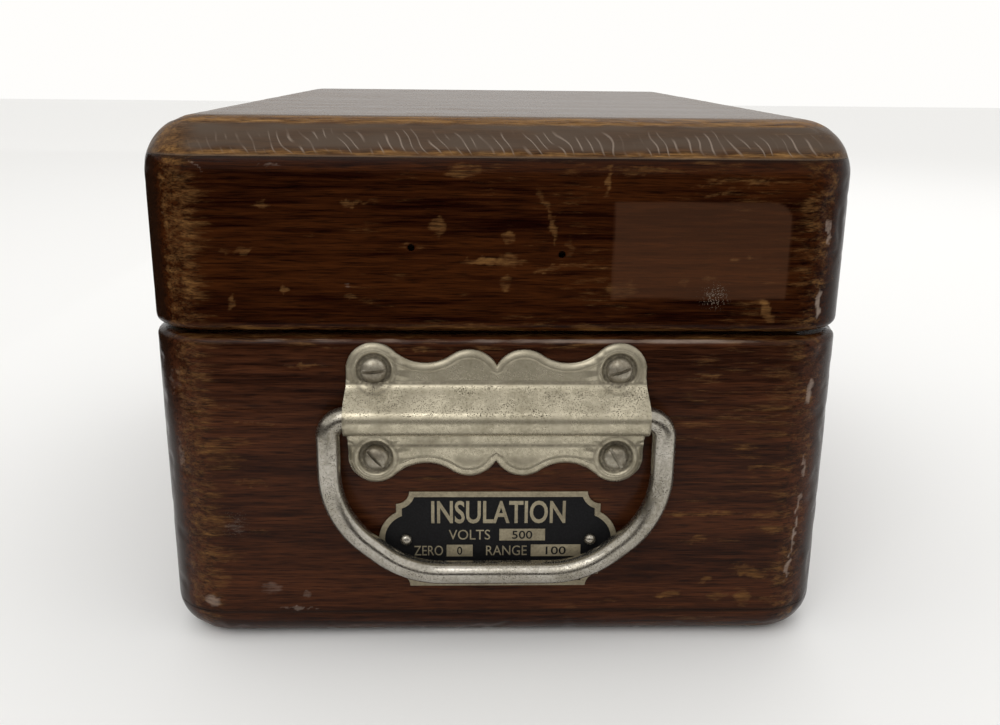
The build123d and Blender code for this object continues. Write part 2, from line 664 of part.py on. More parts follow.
with BuildPart() as meter_base:
    corner_box(
        (meter_low[0] + METER_WALL + 0.3, meter_low[1] + METER_WALL + 0.3, PANEL_TOP),
        (meter_high[0] - METER_WALL - 0.3, meter_high[1] - METER_WALL - 0.3, PANEL_TOP + 2.0),
    )
    post(PIVOT_X, 0, HOUSING_FLOOR, PANEL_TOP, HOUSING_RADIUS)
    post(PIVOT_X, 0, HOUSING_FLOOR + 2.5, PANEL_TOP + 2.0, HOUSING_RADIUS - 2.5, mode=Mode.SUBTRACT)
    for x, y in dial_feet:
        post(x, y, PANEL_TOP + 2.0, DIAL_LOW, 2.5)
write(meter_base, "meter_base")

magnet_inner, magnet_outer = 19.0, 24.0
with BuildPart() as meter_magnets:
    for middle in (90.0, 270.0):
        with BuildSketch(Plane.XY.offset(POLE_BOTTOM)):
            with Locations((PIVOT_X, 0)):
                Circle(magnet_outer)
                Circle(magnet_inner, mode=Mode.SUBTRACT)
            side = 1 if middle < 180 else -1
            with Locations((PIVOT_X, -side * magnet_outer / 2 + side)):
                Rectangle(2 * magnet_outer + 2, magnet_outer + 2, mode=Mode.SUBTRACT)
        extrude(amount=POLE_TOP - POLE_BOTTOM)
write(meter_magnets, "meter_magnets")

pole_inner = 11.6
with BuildPart() as pole_pieces:
    with BuildSketch(Plane.XY.offset(POLE_BOTTOM)):
        with Locations((PIVOT_X, 0)):
            Circle(magnet_inner - 0.05)
            Circle(pole_inner, mode=Mode.SUBTRACT)
            for level in (-1, 1):
                with Locations((0, level * magnet_inner)):
                    Rectangle(2 * magnet_inner, magnet_inner - 3.0, mode=Mode.SUBTRACT)
    extrude(amount=POLE_TOP - POLE_BOTTOM)
write(pole_pieces, "pole_pieces")

with BuildPart() as meter_core:
    post(PIVOT_X, 0, POLE_BOTTOM, POLE_TOP, CORE_RADIUS)
    corner_box(
        (PIVOT_X - 1.5, -magnet_inner + 0.1, POLE_BOTTOM),
        (PIVOT_X + 1.5, magnet_inner - 0.1, POLE_TOP),
    )
    post(PIVOT_X, 0, POLE_BOTTOM, POLE_TOP, 2.0, mode=Mode.SUBTRACT)
write(meter_core, "meter_core")

BRIDGE_LOW = 103.3
frame_floor = HOUSING_FLOOR + 2.5
jewel_top = frame_floor + 3.8
magnet_middle = (magnet_inner + magnet_outer) / 2
with BuildPart() as meter_frame:
    # The lower bridge with its jewel and the pillars under the magnets.
    post(PIVOT_X, 0, frame_floor, frame_floor + 2.0, magnet_outer)
    post(PIVOT_X, 0, frame_floor + 2.0, jewel_top, 2.0)
    for degrees in (45.0, 135.0, 225.0, 315.0):
        x, y = polar(PIVOT_X, 0, magnet_middle, degrees)
        post(x, y, frame_floor + 2.0, POLE_BOTTOM, 2.0)
    # The upper bridge over the pointer.
    for side in (-1, 1):
        post(PIVOT_X, side * magnet_middle, POLE_TOP, BRIDGE_LOW, 2.0)
    corner_box(
        (PIVOT_X - 3, -magnet_outer, BRIDGE_LOW), (PIVOT_X + 3, magnet_outer, BRIDGE_LOW + 1.7)
    )
write(meter_frame, "meter_frame")

coil_low, coil_high = POLE_BOTTOM - 2.2, POLE_TOP + 2.2
coil_wire = 1.0
coil_end = 1.2
turn = math.radians(COIL_TURN)
COIL_PLANE = Plane(
    origin=(PIVOT_X, 0, (coil_low + coil_high) / 2),
    x_dir=(math.cos(turn), math.sin(turn), 0),
    z_dir=(0, 0, 1),
)
with BuildPart() as moving_coil:
    with Locations(COIL_PLANE):
        Box(2 * COIL_RADIUS + coil_wire, 2.6, coil_high - coil_low)
        Box(
            2 * COIL_RADIUS - coil_wire,
            2.6,
            coil_high - coil_low - 2 * coil_end,
            mode=Mode.SUBTRACT,
        )
    post(PIVOT_X, 0, jewel_top + 0.3, coil_low, 0.8)
write(moving_coil, "moving_coil")

# The pointer rests at the left end of its scale, 45 degrees from the middle.
NEEDLE_LOW, NEEDLE_HIGH = 100.0, 100.6
REST_ANGLE = 225.0
needle = math.radians(REST_ANGLE)
NEEDLE_PLANE = Plane(
    origin=(PIVOT_X, 0, NEEDLE_LOW), x_dir=(math.cos(needle), math.sin(needle), 0), z_dir=(0, 0, 1)
)
with BuildPart() as pointer:
    post(PIVOT_X, 0, coil_high, BRIDGE_LOW - 0.3, 0.8)
    post(PIVOT_X, 0, NEEDLE_LOW - 0.4, NEEDLE_HIGH + 0.8, 3.0)
    with BuildSketch(NEEDLE_PLANE):
        Polygon(
            (-11, -1.6), (2, -0.9), (POINTER_REACH, -0.25), (POINTER_REACH, 0.25), (2, 0.9), (-11, 1.6),
            align=None,
        )
    extrude(amount=NEEDLE_HIGH - NEEDLE_LOW)
write(pointer, "pointer")

with BuildPart() as zero_screw:
    post(SCREW_HOLE_X, 0, 105.2, METER_TOP + 0.4, 3.0)
    post(SCREW_HOLE_X, 0, 104.6, 105.7, 4.2)
    post(SCREW_HOLE_X - 1.6, 0, 103.4, 104.6, 0.6)
    with Locations((SCREW_HOLE_X, 0, METER_TOP + 0.4)):
        Box(0.9, 7.0, 1.8, mode=Mode.SUBTRACT)
write(zero_screw, "zero_screw")

# ---------------------------------------------------------------- range switch and zero control
KNOB_LOW = 92.6
KNOB_HOLLOW = 95.8
SHAFT_TOP = 106.0
BUSH_TOP = 94.0
NUT_TOP = 91.6
PLATE_LOW = 82.0
MOUNT_RADIUS = 16.0
NUT_RADIUS = 8.0
WAFER_LEVELS = (60.0, 71.0)
WAFER_RADIUS = 19.0
WAFER_SHEET = 1.6


def bushing(x, y):
    """The threaded bush, its mounting plate and its nut on the panel, with no bore yet."""
    post(x, y, PLATE_LOW, PANEL_UNDER, MOUNT_RADIUS)
    post(x, y, PANEL_UNDER, BUSH_TOP, SWITCH_BUSH)
    with BuildPart(mode=Mode.PRIVATE) as nut:
        with BuildSketch(Plane.XY.offset(PANEL_TOP)):
            with Locations((x, y)):
                RegularPolygon(NUT_RADIUS, 6)
        extrude(amount=NUT_TOP - PANEL_TOP)
    add(nut.part)


with BuildPart() as range_switch:
    bushing(RANGE_X, RANGE_Y)
    for low in WAFER_LEVELS:
        post(RANGE_X, RANGE_Y, low, low + WAFER_SHEET, WAFER_RADIUS)
    for side in (-1, 1):
        post(RANGE_X, RANGE_Y + side * 13.0, WAFER_LEVELS[0], PLATE_LOW, 1.6)
    post(RANGE_X, RANGE_Y, WAFER_LEVELS[0], WAFER_LEVELS[1] + WAFER_SHEET, 5.0, mode=Mode.SUBTRACT)
    post(RANGE_X, RANGE_Y, PLATE_LOW, BUSH_TOP, SHAFT_RADIUS + SHAFT_FIT, mode=Mode.SUBTRACT)
write(range_switch, "range_switch")

with BuildPart() as range_shaft:
    post(RANGE_X, RANGE_Y, 58.0, SHAFT_TOP, SHAFT_RADIUS)
    for low in WAFER_LEVELS:
        post(RANGE_X, RANGE_Y, low + 0.2, low + WAFER_SHEET - 0.2, 4.6)
write(range_shaft, "range_shaft")

GRIP_LOW, GRIP_TOP = 98.1, 111.0
GRIP_LENGTH, GRIP_WIDTH, GRIP_ROUNDING = 38.0, 10.0, 4.8
SKIRT_RADIUS, SKIRT_TOP_RADIUS = 21.0, 19.5
with BuildPart() as range_knob:
    with BuildSketch(Plane.XY.offset(GRIP_LOW)):
        with Locations((RANGE_X, RANGE_Y)):
            RectangleRounded(GRIP_LENGTH, GRIP_WIDTH, GRIP_ROUNDING)
    extrude(amount=GRIP_TOP - GRIP_LOW)
    fillet(range_knob.faces().sort_by(Axis.Z)[-1].edges(), 2.0)
    with Locations((RANGE_X, RANGE_Y, KNOB_LOW)):
        Cone(SKIRT_RADIUS, SKIRT_TOP_RADIUS, GRIP_LOW - KNOB_LOW, align=UPRIGHT)
    post(RANGE_X, RANGE_Y, KNOB_LOW, KNOB_HOLLOW, 10.5, mode=Mode.SUBTRACT)
    post(RANGE_X, RANGE_Y, KNOB_LOW, SHAFT_TOP + 0.3, SHAFT_RADIUS + 0.02, mode=Mode.SUBTRACT)
write(range_knob, "range_knob")

with BuildPart() as zero_rheostat:
    bushing(ZERO_X, ZERO_Y)
    post(ZERO_X, ZERO_Y, 66.0, PLATE_LOW, 18.0)
    post(ZERO_X, ZERO_Y, 70.0, BUSH_TOP, SHAFT_RADIUS + SHAFT_FIT, mode=Mode.SUBTRACT)
write(zero_rheostat, "zero_rheostat")

with BuildPart() as zero_shaft:
    post(ZERO_X, ZERO_Y, 70.4, SHAFT_TOP, SHAFT_RADIUS)
write(zero_shaft, "zero_shaft")

ZERO_KNOB_RADIUS, ZERO_KNOB_HEIGHT = 13.0, 16.0
with BuildPart() as zero_knob:
    post(ZERO_X, ZERO_Y, KNOB_LOW, KNOB_LOW + ZERO_KNOB_HEIGHT, ZERO_KNOB_RADIUS)
    fillet(zero_knob.faces().sort_by(Axis.Z)[-1].edges(), 2.5)
    with Locations((ZERO_X, ZERO_Y, KNOB_LOW + 4.0)):
        with PolarLocations(ZERO_KNOB_RADIUS + 0.6, 14):
            Cylinder(1.7, ZERO_KNOB_HEIGHT, align=UPRIGHT, mode=Mode.SUBTRACT)
    post(ZERO_X, ZERO_Y, KNOB_LOW, KNOB_HOLLOW, 9.0, mode=Mode.SUBTRACT)
    post(ZERO_X, ZERO_Y, KNOB_LOW, SHAFT_TOP + 0.3, SHAFT_RADIUS + 0.02, mode=Mode.SUBTRACT)
write(zero_knob, "zero_knob")

# ---------------------------------------------------------------- test button
FLANGE_LOW, FLANGE_TOP = 77.7, 79.7
BUTTON_TOP = 98.0
BUSHING_LOW, BUSHING_TOP = 80.0, 92.4
SPRING_RADIUS = 4.2
BLOCK_LOW, BLOCK_TOP = 62.0, 68.0
with BuildPart() as test_button:
    post(BUTTON_X, BUTTON_Y, FLANGE_TOP, BUTTON_TOP, BUTTON_RADIUS)
    fillet(test_button.faces().sort_by(Axis.Z)[-1].edges(), 2.5)
    post(BUTTON_X, BUTTON_Y, FLANGE_LOW, FLANGE_TOP, BUTTON_RADIUS + 1.6)
write(test_button, "test_button")

with BuildPart() as button_bushing:
    post(BUTTON_X, BUTTON_Y, BUSHING_LOW, BUSHING_TOP, BUTTON_BUSH)
    post(BUTTON_X, BUTTON_Y, PANEL_TOP, PANEL_TOP + 2.0, BUTTON_BUSH + 3.0)
    fillet(button_bushing.faces().sort_by(Axis.Z)[-1].edges(), 0.8)
    with BuildSketch(Plane.XY.offset(PLATE_LOW)):
        with Locations((BUTTON_X, BUTTON_Y)):
            RegularPolygon(12.3, 6)
    extrude(amount=PANEL_UNDER - PLATE_LOW)
    post(BUTTON_X, BUTTON_Y, BUSHING_LOW, BUSHING_TOP, BUTTON_RADIUS + SHAFT_FIT, mode=Mode.SUBTRACT)
write(button_bushing, "button_bushing")

spring_wire = 0.45
with BuildPart() as button_spring:
    spring_low = BLOCK_TOP + spring_wire + 0.05
    spring_height = FLANGE_LOW - BLOCK_TOP - 2 * spring_wire - 0.1
    with BuildLine():
        Helix(
            pitch=spring_height / 4,
            height=spring_height,
            radius=SPRING_RADIUS,
            center=(BUTTON_X, BUTTON_Y, spring_low),
        )
    with BuildSketch(
        Plane(origin=(BUTTON_X + SPRING_RADIUS, BUTTON_Y, spring_low), x_dir=(1, 0, 0), z_dir=(0, 1, 0))
    ):
        Circle(spring_wire)
    sweep(is_frenet=True)
write(button_spring, "button_spring")

with BuildPart() as contact_block:
    corner_box((BUTTON_X - 16, -9, BLOCK_LOW), (BUTTON_X + 16, 9, PANEL_UNDER))
    corner_box((BUTTON_X - 13, -9, BLOCK_TOP), (BUTTON_X + 13, 9, PANEL_UNDER), mode=Mode.SUBTRACT)
write(contact_block, "contact_block")

# ---------------------------------------------------------------- binding posts
STUD_LOW, POST_TOP = 72.0, 106.0
WASHER_RADIUS, WASHER_SHEET = 7.0, 1.8
STUD_NUTS = ((81.4, PANEL_UNDER), (75.0, 78.0))
STUD_NUT_RADIUS = 5.6
CAP_RADIUS = 8.0
CAP_LOW, CAP_TOP = 91.2, 111.0
with BuildPart() as post_studs:
    for x in POST_X:
        post(x, POST_Y, STUD_LOW, POST_TOP, POST_STUD)
        post(x, POST_Y, PANEL_TOP, PANEL_TOP + WASHER_SHEET, WASHER_RADIUS)
        for low, high in STUD_NUTS:
            with BuildPart(mode=Mode.PRIVATE) as nut:
                with BuildSketch(Plane.XY.offset(low)):
                    with Locations((x, POST_Y)):
                        RegularPolygon(STUD_NUT_RADIUS, 6)
                extrude(amount=high - low)
            add(nut.part)
write(post_studs, "post_studs")

for name, x in zip(POST_NAMES, POST_X):
    with BuildPart() as post_cap:
        post(x, POST_Y, CAP_LOW, CAP_TOP, CAP_RADIUS)
        fillet(post_cap.faces().sort_by(Axis.Z)[-1].edges(), 2.0)
        with Locations((x, POST_Y, CAP_LOW + 5.0)):
            with PolarLocations(CAP_RADIUS + 0.5, 12):
                Cylinder(1.4, CAP_TOP - CAP_LOW, align=UPRIGHT, mode=Mode.SUBTRACT)
        post(x, POST_Y, CAP_LOW, POST_TOP + 0.6, POST_STUD + SHAFT_FIT, mode=Mode.SUBTRACT)
    write(post_cap, name)

# ---------------------------------------------------------------- batteries, resistors, wires
battery_top = BOTTOM_BOARD + BATTERY_SIZE[2]
with BuildPart() as batteries:
    for x in BATTERY_X:
        with Locations((x, BATTERY_Y, BOTTOM_BOARD)):
            Box(*BATTERY_SIZE, align=UPRIGHT)
    fillet(batteries.edges().filter_by(Axis.Z), 3.0)
    for x in BATTERY_X:
        for side in (-1, 1):
            post(x + side * 15.0, BATTERY_Y - 40.0, battery_top, battery_top + 3.0, 3.0)
write(batteries, "batteries")

STRAP_SHEET = 1.5
strap_x = BATTERY_X[1] + BATTERY_SIZE[0] / 2 + 0.2
with BuildPart() as battery_strap:
    low_y, high_y = BATTERY_Y - 8.0, BATTERY_Y + 8.0
    corner_box(
        (-strap_x - STRAP_SHEET, low_y, battery_top),
        (strap_x + STRAP_SHEET, high_y, battery_top + STRAP_SHEET),
    )
    for side in (-1, 1):
        near, far = sorted((side * strap_x, side * (strap_x + STRAP_SHEET)))
        corner_box((near, low_y, BOTTOM_BOARD), (far, high_y, battery_top))
        near, far = sorted((side * strap_x, side * (strap_x + 10.0)))
        corner_box((near, low_y, BOTTOM_BOARD), (far, high_y, BOTTOM_BOARD + STRAP_SHEET))
write(battery_strap, "battery_strap")

BOARD_HALF_X = 60.0
board_top = 50.0
with BuildPart() as terminal_board:
    corner_box(
        (-BOARD_HALF_X, BOARD_Y - 1.5, BOTTOM_BOARD), (BOARD_HALF_X, BOARD_Y + 1.5, board_top)
    )
    corner_box(
        (-BOARD_HALF_X, BOARD_Y + 1.5, BOTTOM_BOARD),
        (BOARD_HALF_X, BOARD_Y + 11.5, BOTTOM_BOARD + 3.0),
    )
write(terminal_board, "terminal_board")

SPOOL_RADIUS = 6.0
SPOOL_LOW, SPOOL_HIGH = 20.0, 44.0
SPOOL_PITCH = 24.0
SPOOL_CHEEK = 2.0
with BuildPart() as resistors:
    for index in range(5):
        x = SPOOL_PITCH * (index - 2)
        y = BOARD_Y - 1.5 - SPOOL_RADIUS - 1.6
        post(x, y, SPOOL_LOW, SPOOL_HIGH, SPOOL_RADIUS - 1.2)
        for low in (SPOOL_LOW, (SPOOL_LOW + SPOOL_HIGH - SPOOL_CHEEK) / 2, SPOOL_HIGH - SPOOL_CHEEK):
            post(x, y, low, low + SPOOL_CHEEK, SPOOL_RADIUS)
write(resistors, "resistors")

WIRE_RADIUS = 0.9
stud_end = STUD_LOW - 0.1
wire_routes = (
    (
        (POST_X[0], POST_Y, stud_end), (POST_X[0], POST_Y, 60), (-54, -62, 58), (-55, -20, 60),
        (-50, 22, 59), (-48, BOARD_Y, 64), (-48, BOARD_Y, board_top),
    ),
    (
        (POST_X[1], POST_Y, stud_end), (POST_X[1], POST_Y, 60), (-32, -62, 58), (-42, -22, 60),
        (-38, 22, 59), (-24, BOARD_Y, 64), (-24, BOARD_Y, board_top),
    ),
    (
        (POST_X[2], POST_Y, stud_end), (POST_X[2], POST_Y, 60), (36, -62, 58), (45, -22, 60),
        (40, 22, 59), (24, BOARD_Y, 64), (24, BOARD_Y, board_top),
    ),
    ((-26, RANGE_Y, 59.9), (-26, RANGE_Y, 36), (-26, BOARD_Y + 1.5, 36)),
    ((ZERO_X, ZERO_Y, 65.9), (ZERO_X, ZERO_Y, 36), (ZERO_X, BOARD_Y + 1.5, 36)),
)
with BuildPart() as wiring:
    for points in wire_routes:
        with BuildPart(mode=Mode.PRIVATE) as wire:
            with BuildLine():
                FilletPolyline(*points, radius=5.5)
            with BuildSketch(Plane(origin=points[0], z_dir=(0, 0, -1))):
                Circle(WIRE_RADIUS)
            sweep()
        add(wire.part)
write(wiring, "wiring")
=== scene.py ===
import math

import bmesh
import bpy
from mathutils import Matrix, Vector, noise


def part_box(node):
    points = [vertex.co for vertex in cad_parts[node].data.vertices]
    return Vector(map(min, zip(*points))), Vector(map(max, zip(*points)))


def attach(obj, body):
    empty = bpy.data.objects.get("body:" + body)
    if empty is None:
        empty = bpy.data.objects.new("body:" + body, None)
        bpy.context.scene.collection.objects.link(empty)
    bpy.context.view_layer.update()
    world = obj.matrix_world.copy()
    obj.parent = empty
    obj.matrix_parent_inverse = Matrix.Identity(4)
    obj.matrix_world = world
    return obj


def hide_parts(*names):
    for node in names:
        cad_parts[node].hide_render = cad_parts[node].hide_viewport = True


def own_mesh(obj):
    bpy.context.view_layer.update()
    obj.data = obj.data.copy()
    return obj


# The looks of an insulation tester in its wooden carrying case.
# Everything is in metres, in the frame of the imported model: +Z is up and the handle end faces -Y.

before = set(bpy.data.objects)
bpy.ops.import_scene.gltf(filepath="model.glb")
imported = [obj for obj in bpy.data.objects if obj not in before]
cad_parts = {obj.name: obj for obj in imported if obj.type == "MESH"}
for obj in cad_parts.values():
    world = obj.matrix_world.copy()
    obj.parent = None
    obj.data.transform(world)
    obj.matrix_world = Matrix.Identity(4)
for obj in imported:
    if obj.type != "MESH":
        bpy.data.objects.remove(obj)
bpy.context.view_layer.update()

MM = 0.001

# ---------------------------------------------------------------- places read from the frame
BOARD_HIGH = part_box("case_bottom")[1]
HALF_X, HALF_Y = BOARD_HIGH.x, BOARD_HIGH.y
BOTTOM_JOINT = BOARD_HIGH.z
CASE_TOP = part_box("case_end_front")[1].z
LID_BOTTOM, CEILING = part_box("lid_end_front")[0].z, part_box("lid_end_front")[1].z
LID_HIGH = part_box("lid_top")[1].z
INNER_X, INNER_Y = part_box("rim_liner")[1].x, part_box("rim_liner")[1].y
FRONT = -HALF_Y
PLATE_LOW, PLATE_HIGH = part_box("handle_plate")
HANDLE_X = (PLATE_LOW.x + PLATE_HIGH.x) / 2
HANDLE_Z = (PLATE_LOW.z + PLATE_HIGH.z) / 2
PANEL_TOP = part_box("panel")[1].z

CORNER_RADIUS = 19.0 * MM
TOP_ROUNDOVER = 16.0 * MM
BOTTOM_ROUNDOVER = 12.0 * MM
RIM_ROUNDING = 2.5 * MM


# ---------------------------------------------------------------- small helpers
def smooth(low, high, value):
    """0 below low, 1 above high and a soft rise between, and low may be the larger one."""
    share = min(1.0, max(0.0, (value - low) / (high - low)))
    return share * share * (3 - 2 * share)


def grit(place, size, seed=0.0):
    """Smooth noise from -1 to 1 whose lumps are about size across."""
    return noise.noise(place / size + Vector((seed, 2.7 * seed, -1.3 * seed)))


def new_piece(name, mesh, body, materials, replaced=()):
    """A visible piece whose place is in its mesh, riding on a body of the frame."""
    piece = bpy.data.objects.new(name, mesh)
    bpy.context.scene.collection.objects.link(piece)
    piece.data.materials.clear()
    for material in materials:
        piece.data.materials.append(material)
    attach(piece, body)
    if replaced:
        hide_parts(*replaced)
    return piece


def mesh_from(bm, name, smooth_faces=True):
    """A mesh data block made from a bmesh, which is freed."""
    for face in bm.faces:
        face.smooth = smooth_faces
    mesh = bpy.data.meshes.new(name)
    bm.to_mesh(mesh)
    bm.free()
    return mesh


def finished_mesh(holder):
    """The mesh that an object's modifiers make; the object is removed."""
    bpy.context.view_layer.update()
    depsgraph = bpy.context.evaluated_depsgraph_get()
    mesh = bpy.data.meshes.new_from_object(holder.evaluated_get(depsgraph))
    bpy.data.objects.remove(holder)
    return mesh


def soft_edges(piece, width, segments=2, angle=50.0):
    """Rounds the sharp edges of a piece and keeps its flat faces flat to the light."""
    bevel = piece.modifiers.new("eased_edges", "BEVEL")
    bevel.width = width
    bevel.segments = segments
    bevel.limit_method = "ANGLE"
    bevel.angle_limit = math.radians(angle)
    bevel.use_clamp_overlap = True
    shading = piece.modifiers.new("flat_faces", "WEIGHTED_NORMAL")
    shading.keep_sharp = True
    return piece


def join_meshes(name, meshes):
    """One flat-faced mesh holding several closed ones."""
    bm = bmesh.new()
    for mesh in meshes:
        bm.from_mesh(mesh)
        bpy.data.meshes.remove(mesh)
    return mesh_from(bm, name, False)


# ---------------------------------------------------------------- wear on the wood
# Each mark is (x, z, half width, half height, tilt in degrees, strength), in millimetres.
LID_MARKS = (
    (-10.4, 146.9, 4.4, 1.7, 0, 1.0),
    (-17.8, 131.5, 2.2, 2.0, 20, 0.9),
    (-2.2, 121.7, 7.2, 1.0, 0, 1.0),
    (-42.6, 137.8, 1.5, 0.9, 0, 0.95),
    (-38.0, 138.4, 4.0, 0.5, 3, 0.6),
    (-66.4, 137.2, 1.9, 1.0, 0, 0.85),
    (-72.0, 124.8, 3.2, 0.7, 12, 0.8),
    (-77.5, 124.4, 1.6, 0.8, 0, 0.6),
    (-61.5, 113.6, 0.9, 1.5, 0, 0.85),
    (-42.9, 111.7, 1.4, 0.9, 0, 0.75),
    (-76.3, 109.8, 0.7, 2.4, -18, 0.75),
    (2.1, 128.8, 1.5, 1.5, 0, 0.9),
    (1.9, 122.0, 2.6, 1.6, 0, 0.85),
    (1.4, 115.7, 1.5, 2.0, 0, 0.8),
    (34.7, 114.1, 3.6, 2.2, 5, 0.9),
    (28.0, 112.6, 4.0, 1.0, 0, 0.5),
    (52.2, 116.2, 1.0, 1.4, 0, 0.85),
    (59.3, 117.2, 1.2, 0.8, 0, 0.8),
    (29.8, 144.8, 0.7, 3.8, -10, 0.95),
    (11.3, 139.6, 0.7, 3.2, 38, 0.8),
    (14.1, 132.6, 0.7, 4.6, 8, 0.85),
    (19.4, 125.5, 1.0, 2.8, 0, 0.75),
    (14.5, 119.9, 4.0, 0.7, 12, 0.7),
    (-24.8, 126.0, 3.4, 0.9, 0, 0.6),
    (77.0, 107.6, 1.0, 4.4, 18, 0.85),
    (66.0, 142.8, 9.0, 0.5, 16, 0.75),
    (60.0, 144.6, 6.0, 0.5, 12, 0.6),
    (73.8, 127.0, 1.2, 0.7, 0, 0.5),
    (66.5, 122.6, 0.9, 0.7, 0, 0.8),
    (71.0, 123.2, 0.8, 0.5, 0, 0.8),
    (-53.0, 128.8, 2.0, 0.4, 0, 0.6),
    (40.0, 147.6, 13.0, 0.9, 0, 0.6),
)
CASE_MARKS = (
    (-55.6, 90.8, 6.5, 0.6, 2, 0.8),
    (-84.8, 62.4, 6.5, 5.0, 0, 0.62),
    (-73.6, 54.3, 5.0, 1.0, 0, 0.8),
    (-80.0, 67.5, 7.0, 1.4, 0, 0.6),
    (-85.6, 42.4, 5.0, 1.3, 0, 0.65),
    (-72.6, 38.2, 3.0, 1.0, 0, 0.6),
    (-86.4, 30.5, 7.0, 2.0, 0, 0.7),
    (-88.0, 22.5, 5.0, 4.4, 0, 0.66),
    (-76.0, 78.0, 9.0, 0.4, 0, 0.55),
    (-70.0, 73.0, 8.0, 0.4, -2, 0.55),
    (61.5, 88.2, 3.4, 0.6, -3, 0.85),
    (66.0, 73.5, 16.0, 2.6, 0, 0.5),
    (58.0, 68.0, 12.0, 1.0, 0, 0.45),
    (84.1, 77.8, 6.0, 7.0, 0, 0.55),
    (84.6, 88.0, 7.0, 2.0, -12, 0.55),
    (66.4, 43.8, 20.0, 0.6, 1, 0.85),
    (86.3, 39.3, 6.5, 1.4, -6, 0.65),
    (76.8, 59.0, 3.6, 0.5, 22, 0.7),
    (84.0, 58.6, 6.0, 0.6, 0, 0.55),
    (59.9, 35.0, 3.8, 1.1, 16, 0.85),
    (78.3, 24.4, 4.6, 1.6, -14, 1.0),
    (64.8, 21.5, 1.8, 1.0, 22, 0.8),
    (53.3, 16.6, 3.8, 0.9, 14, 0.85),
    (68.3, 16.2, 2.6, 1.4, 0, 0.75),
    (76.8, 15.4, 2.2, 2.8, 20, 0.8),
    (84.0, 14.4, 3.0, 1.0, 0, 0.6),
    (90.0, 31.0, 2.2, 2.0, 0, 0.7),
    (38.0, 14.6, 6.0, 0.6, 0, 0.5),
    (-20.0, 96.6, 30.0, 0.9, 0, 0.55),
)
# Pale rubbed-off spots: thin knocks along the corners and near the foot.
LID_SCUFFS = (
    (92.6, 109.0, 0.8, 4.0, 0, 0.9),
    (93.6, 130.0, 0.7, 3.4, 8, 0.8),
    (-65.0, 148.2, 4.0, 0.4, 4, 0.5),
    (-84.4, 148.4, 3.4, 0.4, -30, 0.6),
    (-43.6, 115.0, 1.0, 0.8, 0, 0.45),
)
CASE_SCUFFS = (
    (92.2, 40.0, 0.5, 9.0, -3, 0.9),
    (91.0, 26.0, 0.5, 5.0, -6, 0.8),
    (92.4, 82.8, 0.9, 3.6, -10, 0.85),
    (93.2, 58.3, 0.7, 3.0, 0, 0.8),
    (-69.6, 19.0, 3.2, 2.4, 0, 0.5),
    (-58.7, 17.2, 1.6, 1.4, 0, 0.5),
    (-88.6, 14.8, 2.4, 1.8, 0, 0.7),
    (-62.0, 12.4, 8.0, 0.4, 0, 0.6),
    (-79.0, 40.4, 3.0, 3.0, 0, 0.45),
    (-95.5, 62.0, 0.9, 6.0, 0, 0.5),
    (-96.5, 84.0, 0.9, 4.0, 0, 0.45),
)
LABEL_GHOST = (31.8, 82.0, 111.2, 138.8)
LID_HOLES = ((-25.4, 125.6), (17.2, 123.9))
HOLE_RADIUS = 1.15
TOOL_MARK_PITCH = 3.1
ATTRIBUTES = ("wear", "grime_and_shade", "ghost", "scuff_and_highlight", "speckle", "nick")


def mark_strength(marks, x, z):
    """How strongly the listed marks touch a spot of the handle end, from 0 to 1."""
    strongest = 0.0
    spot = Vector((x, 0, z))
    ragged_x = 1.3 * grit(spot, 1.9, 31.0)
    ragged_z = 1.0 * grit(spot, 1.5, 37.0)
    for mark_x, mark_z, half_width, half_height, tilt, strength in marks:
        turn = math.radians(tilt)
        right, up = x - mark_x + ragged_x, z - mark_z + ragged_z
        along = (right * math.cos(turn) + up * math.sin(turn)) / half_width
        aside = (up * math.cos(turn) - right * math.sin(turn)) / half_height
        reach = along * along + aside * aside
        if reach < 3.2:
            strongest = max(strongest, strength * smooth(3.2, 0.1, reach))
    return strongest


def tool_mark(place, outward, rise):
    """0 to 1: where the moulding cutter left slanting nicks on the lid's front roundover."""
    if outward.y > -0.9:
        return 0.0
    x = place.x / MM
    span = smooth(22.0, 29.0, rise) * smooth(52.0, 38.0, rise + 9 * grit(place, 4 * MM, 19.0))
    kept = smooth(-92.0, -58.0, x) * smooth(94.0, 84.0, x)
    return span * kept * smooth(-0.4, 0.3, grit(place, 4 * MM, 17.0))


